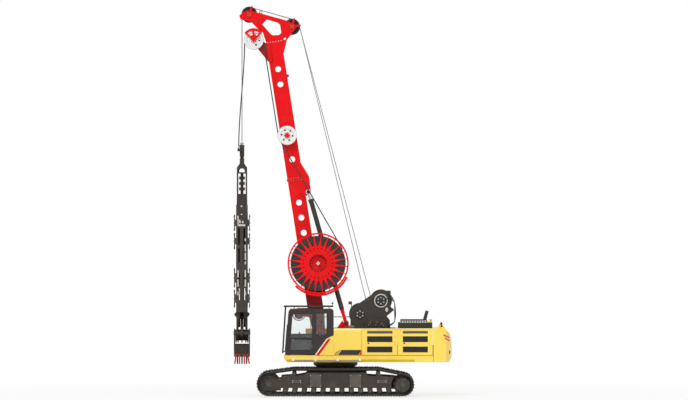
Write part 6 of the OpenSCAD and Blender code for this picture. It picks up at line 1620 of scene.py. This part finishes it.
class WALLGRAB_OT_winch(bpy.types.Operator):
    """Hubs, motors, valve block, hoses and lamp of the winch"""
    bl_idname = "wallgrab.winch"
    bl_label = "Winch"

    def execute(self, context):
        detail = context.scene.wall_grab_detail
        for body, at in DRUMS.items():
            bm = bmesh.new()
            bolts = []
            for side in SIDES:
                low, high = sorted((side * 0.5598, side * 0.574))
                add_lathe(bm, ring_profile(0.06, 0.172, low, high), (at[0], 0, at[1]), "y", 40)
                add_cap(bm, (at[0], side * 0.5598, at[1]), 0.05, 0.022, "y", side, 28)
                bolts += bolts_round(at, 0.125, 6, side * 0.574, side, math.pi / 6)
            piece_of(body + "_hub", bm, body, "black", bevel=0.002)
            bolt_piece(body + "_hub_bolts", bolts, body, "steel", detail.bolt_r, 1.2 * detail.bolt_h)
        self.plates(detail)
        self.hydraulics(detail)
        return {"FINISHED"}

    def plates(self, detail):
        """Pale ring round the rear shaft, end cap, lamp lens, and bolts along the plates' feet."""
        bm = bmesh.new()
        for side in SIDES:
            low, high = sorted((side * (WINCH_Y - 0.002), side * (WINCH_Y + 0.014)))
            add_lathe(bm, ring_profile(0.232, 0.272, low, high), (REAR_DRUM[0], 0, REAR_DRUM[1]), "y", 56)
        oval = [(1.745 + 0.058 * math.cos(a), 3.44 + 0.092 * math.sin(a))
                for a in (math.tau * k / 28 for k in range(28))]
        add_prism(bm, oval, -WINCH_Y - 0.03, -WINCH_Y + 0.002)
        piece_of("winch_rings", bm, "upper", "light_grey", bevel=0.004)
        bolts = [((0.37 + i * 0.13, side * WINCH_Y, 2.76), (0, side, 0)) for i in range(12) for side in SIDES]
        for x, z in ((0.4, 3.42), (0.62, 3.6), (1.0, 3.86), (1.86, 4.1), (1.86, 3.62)):
            bolts += [((x, side * WINCH_Y, z), (0, side, 0)) for side in SIDES]
        bolt_piece("winch_plate_bolts", bolts, "upper", "cover_grey", 0.8 * detail.bolt_r, detail.bolt_h)
        bm = bmesh.new()
        add_cap(bm, (0.2345, -0.5, 3.713), 0.052, 0.007, "x", -1, 28)
        piece_of("work_lamp_lens", bm, "upper", "lens")
        bm = bmesh.new()
        add_lathe(bm, ring_profile(0.05, 0.066, -0.014, 0.012), (0.236, -0.5, 3.713), "x", 32)
        piece_of("work_lamp_rim", bm, "upper", "black", bevel=0.002)

    def hydraulics(self, detail):
        """Valve block with its fittings, motors on the right, accumulator and hoses."""
        bm = bmesh.new()
        block = [(0.9, 2.702), (1.78, 2.702), (1.78, 2.9), (1.7, 3.06), (1.28, 3.09), (1.0, 3.06), (0.9, 2.93)]
        add_prism(bm, block, -0.74, -0.5195)
        for x in (1.06, 1.32, 1.58):
            add_box(bm, (x - 0.08, -0.79, 2.78), (x + 0.08, -0.735, 2.99))
        piece_of("valve_block", bm, "upper", "grey", bevel=0.01)
        fittings = [((x, -0.79, z), (0, -1, 0)) for x, z in
                    ((1.02, 2.84), (1.09, 2.94), (1.3, 2.82), (1.36, 2.95), (1.54, 2.88), (1.62, 2.8))]
        bolt_piece("valve_fittings", fittings, "upper", "orange", 0.011, 0.03)
        bm = bmesh.new()
        for at in DRUMS.values():
            add_lathe(bm, [(0.19, 0.5195), (0.235, 0.5195), (0.235, 0.6), (0.2, 0.625), (0.2, 0.74), (0.185, 0.76),
                           (0, 0.76), (0, 0.6), (0.19, 0.6)], (at[0], 0, at[1]), "y", 44)
        piece_of("winch_motors", bm, "upper", "grey", bevel=0.003)
        bolts = [b for at in DRUMS.values() for b in bolts_round(at, 0.15, 8, 0.76, 1)]
        bolt_piece("motor_bolts", bolts, "upper", "steel", 0.8 * detail.bolt_r, detail.bolt_h)
        bm = bmesh.new()
        add_lathe(bm, [(0, 0), (0.03, 0.004), (0.052, 0.03), (0.056, 0.06), (0.056, 0.2), (0.05, 0.23),
                       (0.03, 0.25), (0, 0.254)], (0.2, -0.66, 2.764), "x", 32)
        for x in (0.26, 0.37):
            add_box(bm, (x, -0.7, 2.7035), (x + 0.03, -0.62, 2.75))
        piece_of("accumulator", bm, "upper", "pale_grey")
        meshes = []
        for k in range(3):
            y = -0.545 - 0.048 * k
            path = smooth_path([(1.8 - 0.05 * k, y, 4.06 - 0.09 * k), (1.93, y, 3.98 - 0.08 * k), (2.05, y, 3.72),
                                (2.1 - 0.02 * k, y, 3.3), (2.05, y, 2.96), (1.9 - 0.05 * k, y, 2.82),
                                (1.775, y, 2.8)])
            meshes.append(tube("hose", path, 0.019, 10))
        finished("winch_hoses", joined("winch_hoses", meshes), "upper", "hose")


# The grab's end faces, across, and its guide plates, lowest and highest
GRAB_END = 1.2
GUIDE_ZS = ((3.52, 4.24), (4.32, 5.092), (5.848, 6.5), (6.58, 7.236))
# Pale plates on the end columns, as (x from the grab's middle, lowest, highest)
PALE_PLATES = [(x, z0, z1) for x in (-0.143, 0.148) for z0, z1 in ((4.024, 4.18), (4.372, 4.658), (4.736, 5.024))]
PALE_PLATES += [(0.148, z0, z1) for z0, z1 in ((5.256, 5.38), (5.43, 5.724), (5.776, 6.044), (6.184, 6.297))]
PALE_PLATES.append((-0.143, 6.856, 7.19))
# Pale pads in the recess at the top of each end, whose darkness is a black sheet of painted shade
RECESS_PADS = [[(-0.103, 6.9), (-0.03, 6.9), (-0.06, 7.035), (-0.103, 7.035)],
               [(0.01, 6.9), (0.095, 6.9), (0.05, 7.0), (0.01, 6.98)]]
JAW_CENTRE = (0.08, 2.56)
JAW_R = 1.01


class WALLGRAB_OT_grab(bpy.types.Operator):
    """Bolts, end plates, painted shade on the ends' recesses, shields, pin caps and wear strips of the grab"""
    bl_idname = "wallgrab.grab"
    bl_label = "Grab"

    def execute(self, context):
        detail = context.scene.wall_grab_detail
        bolts = []
        for z0, z1 in GUIDE_ZS:
            bolts += [((GRAB_X + side * 0.306, y, z), (side, 0, 0)) for side in SIDES
                      for y in (-1.016, -0.5, 0.0, 0.5, 1.016) for z in (z0 + 0.07, (z0 + z1) / 2, z1 - 0.07)]
        for side in SIDES:
            bolts += [((GRAB_X + dx, side * GRAB_END, 3.5 + 0.31 * k), (0, side, 0)) for dx in (-0.185, 0.185)
                      for k in range(14)]
        bolt_piece("guide_bolts", bolts, "grab", "cover_grey", detail.bolt_r, detail.bolt_h)
        bm = bmesh.new()
        for end in SIDES:
            low, high = sorted((end * (GRAB_END - 0.001), end * (GRAB_END + 0.005)))
            for x, z0, z1 in PALE_PLATES:
                add_box(bm, (GRAB_X + x - 0.025, low, z0), (GRAB_X + x + 0.025, high, z1))
            add_box(bm, (GRAB_X - 0.156, low, 6.78), (GRAB_X + 0.144, high, 6.852))
            for pad in RECESS_PADS:
                add_prism(bm, [(GRAB_X + x, z) for x, z in pad], low, high)
        piece_of("column_plates", bm, "grab", "light_grey", bevel=0.002)
        recess, pins = bmesh.new(), bmesh.new()
        for end in SIDES:
            low, high = sorted((end * (GRAB_END - 0.002), end * (GRAB_END + 0.0025)))
            # Black sheet over each end's recess, as painted shade
            add_box(recess, (GRAB_X - 0.112, low, 6.856), (GRAB_X + 0.156, high, 7.25))
            for z, r in ((7.246, 0.03), (7.57, 0.036)):
                add_cap(pins, (GRAB_X, end * (GRAB_END - 0.001), z), r, 0.014, "y", end, 24)
        piece_of("end_recess_plates", recess, "grab", "black")
        piece_of("end_pin_caps", pins, "grab", "light_grey")
        bm = bmesh.new()
        shield = [(0.068, 3.35), (0.22, 3.35), (0.3, 3.28), (0.3, 3.22), (0.22, 3.13), (0.068, 3.07)]
        for end in SIDES:
            for side in SIDES:
                low, high = sorted((end * 0.533, end * 0.553))
                add_prism(bm, [(GRAB_X + side * x, z) for x, z in shield], low, high)
                low, high = sorted((end * 0.33, end * 0.39))
                x0, x1 = sorted((GRAB_X + side * 0.068, GRAB_X + side * 0.141))
                add_box(bm, (x0, low, 2.74), (x1, high, 3.357))
        piece_of("carrier_shields", bm, "grab", "grey", bevel=0.004)
        bolts = [((GRAB_X + side * 0.09, y, z), (side, 0, 0)) for side in SIDES for y in (-0.19, 0.0, 0.19)
                 for z in (9.84, 9.98)]
        bolt_piece("block_bolts", bolts, "hanger", "steel", detail.bolt_r, detail.bolt_h)
        for body, sign in (("near_jaw", -1), ("far_jaw", 1)):
            bm = bmesh.new()
            for side in SIDES:
                add_cap(bm, (GRAB_X + side * 0.314, sign * 0.88, 2.5), 0.06, 0.01, "x", side, 28)
            piece_of(body + "_link_caps", bm, body, "dark_steel")
            self.wear(body, sign)
        bm = bmesh.new()
        places = []
        for sign in SIDES:
            for side in SIDES:
                add_cap(bm, (GRAB_X + side * 0.314, sign * 0.42, 2.56), 0.058, 0.01, "x", side, 28)
                places.append(((GRAB_X + side * 0.324, sign * 0.42, 2.56), (side, 0, 0)))
        piece_of("jaw_pin_caps", bm, "grab", "dark_steel")
        bolt_piece("jaw_pin_bolts", places, "grab", "steel", 0.6 * detail.bolt_r, 0.5 * detail.bolt_h)
        return {"FINISHED"}

    def wear(self, body, sign):
        """Wear strips on a jaw's back."""
        bm = bmesh.new()
        for x in (-0.2, 0.0, 0.2):
            rows = []
            for k in range(13):
                a = math.radians(-56 + 23 * k / 12)
                rows.append([bm.verts.new((GRAB_X + x + dx, sign * (JAW_CENTRE[0] + r * math.cos(a)),
                                           JAW_CENTRE[1] + r * math.sin(a)))
                             for dx, r in ((-0.03, JAW_R - 0.002), (0.03, JAW_R - 0.002), (0.024, JAW_R + 0.014),
                                           (-0.024, JAW_R + 0.014))])
            add_loft(bm, rows)
        piece_of(body + "_wear_strips", bm, body, "track", bevel=0.002)


class WALLGRAB_OT_stage(bpy.types.Operator):
    """Floor, soft light, background and camera"""
    bl_idname = "wallgrab.stage"
    bl_label = "Stage"

    def execute(self, context):
        scene, stage = context.scene, context.scene.wall_grab_stage
        scene.view_settings.view_transform = "Standard"
        data = bpy.data.cameras.new("camera")
        data.sensor_width = 36.0
        data.lens = data.sensor_width * stage.camera_far / stage.frame_w
        data.clip_start, data.clip_end = 1.0, 2000.0
        camera = bpy.data.objects.new("camera", data)
        camera.location = (stage.camera_x, -stage.camera_far, stage.camera_z)
        camera.rotation_euler = (math.pi / 2, 0, 0)
        scene.collection.objects.link(camera)
        scene.camera = camera
        for name, strength, toward, soft in (("key", stage.key, (0.45, 1.0, -0.85), 25),
                                             ("fill", stage.fill, (-0.9, 0.8, -0.35), 40),
                                             ("back", stage.fill, (0.3, -1.0, -0.7), 40)):
            lamp = bpy.data.lights.new(name, "SUN")
            lamp.energy, lamp.angle = strength, math.radians(soft)
            sun = bpy.data.objects.new(name, lamp)
            sun.rotation_euler = Vector(toward).to_track_quat("-Z", "Y").to_euler()
            scene.collection.objects.link(sun)
        world = bpy.data.worlds.new("studio")
        world.use_nodes = True
        scene.world = world
        tree = world.node_tree
        back = tree.nodes["Background"]
        back.inputs["Color"].default_value = (1, 1, 1, 1)
        seen = self.seen(tree)
        span = tree.nodes.new("ShaderNodeMapRange")
        span.inputs[3].default_value, span.inputs[4].default_value = stage.sky, 1.0
        tree.links.new(seen, span.inputs[0])
        tree.links.new(span.outputs[0], back.inputs["Strength"])
        mesh = bpy.data.meshes.new("floor")
        half = 60.0
        mesh.from_pydata([(x, y, -0.002) for x, y in rect(-half, -half, half, half)], [], [(0, 1, 2, 3)])
        floor = bpy.data.objects.new("floor", mesh)
        scene.collection.objects.link(floor)
        finish = Finish("pale_floor")
        fleck = finish.noise(3.0, 4)
        finish.set(Base_Color=finish.mix(fleck, (0.86, 0.86, 0.855), (0.9, 0.9, 0.895)), Roughness=0.9)
        glow = finish.node("ShaderNodeEmission", None, {"Color": (1, 1, 1), "Strength": 1.0})
        far = finish.node("ShaderNodeVectorMath", {"operation": "LENGTH"}, {0: finish.place()}, out="Value")
        share = Wire(finish, self.seen(finish.tree)) * (finish.between(far, 9.0, 30.0) * 0.28 + 0.72)
        lit = Wire(finish, finish.shader.outputs[0])
        both = finish.node("ShaderNodeMixShader", None, {0: share, 1: lit, 2: glow})
        finish.tree.links.new(both.socket, finish.tree.nodes["Material Output"].inputs["Surface"])
        mesh.materials.append(finish.material)
        return {"FINISHED"}

    @staticmethod
    def seen(tree):
        """1 for rays that show the background: camera, glossy and transmission rays."""
        path = tree.nodes.new("ShaderNodeLightPath")
        total = path.outputs["Is Camera Ray"]
        for name in ("Is Glossy Ray", "Is Transmission Ray"):
            add = tree.nodes.new("ShaderNodeMath")
            add.operation, add.use_clamp = "ADD", True
            tree.links.new(total, add.inputs[0])
            tree.links.new(path.outputs[name], add.inputs[1])
            total = add.outputs[0]
        return total


class WALLGRAB_PT_panel(bpy.types.Panel):
    """Lists the settings and the pieces"""
    bl_idname = "WALLGRAB_PT_panel"
    bl_label = "Wall grab"
    bl_space_type = "VIEW_3D"
    bl_region_type = "UI"
    bl_category = "Wall grab"

    def draw(self, context):
        for group in ("wall_grab_paint", "wall_grab_detail", "wall_grab_stage"):
            settings = getattr(context.scene, group)
            box = self.layout.box()
            for name in settings.bl_rna.properties.keys():
                if name not in ("rna_type", "name"):
                    box.prop(settings, name)
        for operator in OPERATORS:
            self.layout.operator(operator.bl_idname)


GROUPS = {"wall_grab_paint": WallGrabPaint, "wall_grab_detail": WallGrabDetail, "wall_grab_stage": WallGrabStage}
OPERATORS = (WALLGRAB_OT_stage, WALLGRAB_OT_paint, WALLGRAB_OT_ropes, WALLGRAB_OT_hoses, WALLGRAB_OT_undercarriage,
             WALLGRAB_OT_bodywork, WALLGRAB_OT_cab, WALLGRAB_OT_boom, WALLGRAB_OT_winch, WALLGRAB_OT_grab)


def register():
    for name, group in GROUPS.items():
        bpy.utils.register_class(group)
        setattr(bpy.types.Scene, name, bpy.props.PointerProperty(type=group))
    for cls in (*OPERATORS, WALLGRAB_PT_panel):
        bpy.utils.register_class(cls)


def unregister():
    for cls in reversed((*OPERATORS, WALLGRAB_PT_panel)):
        bpy.utils.unregister_class(cls)
    for name, group in GROUPS.items():
        delattr(bpy.types.Scene, name)
        bpy.utils.unregister_class(group)


def main():
    register()
    for operator in OPERATORS:
        group, name = operator.bl_idname.split(".")
        getattr(getattr(bpy.ops, group), name)()


if __name__ == "__main__":
    main()
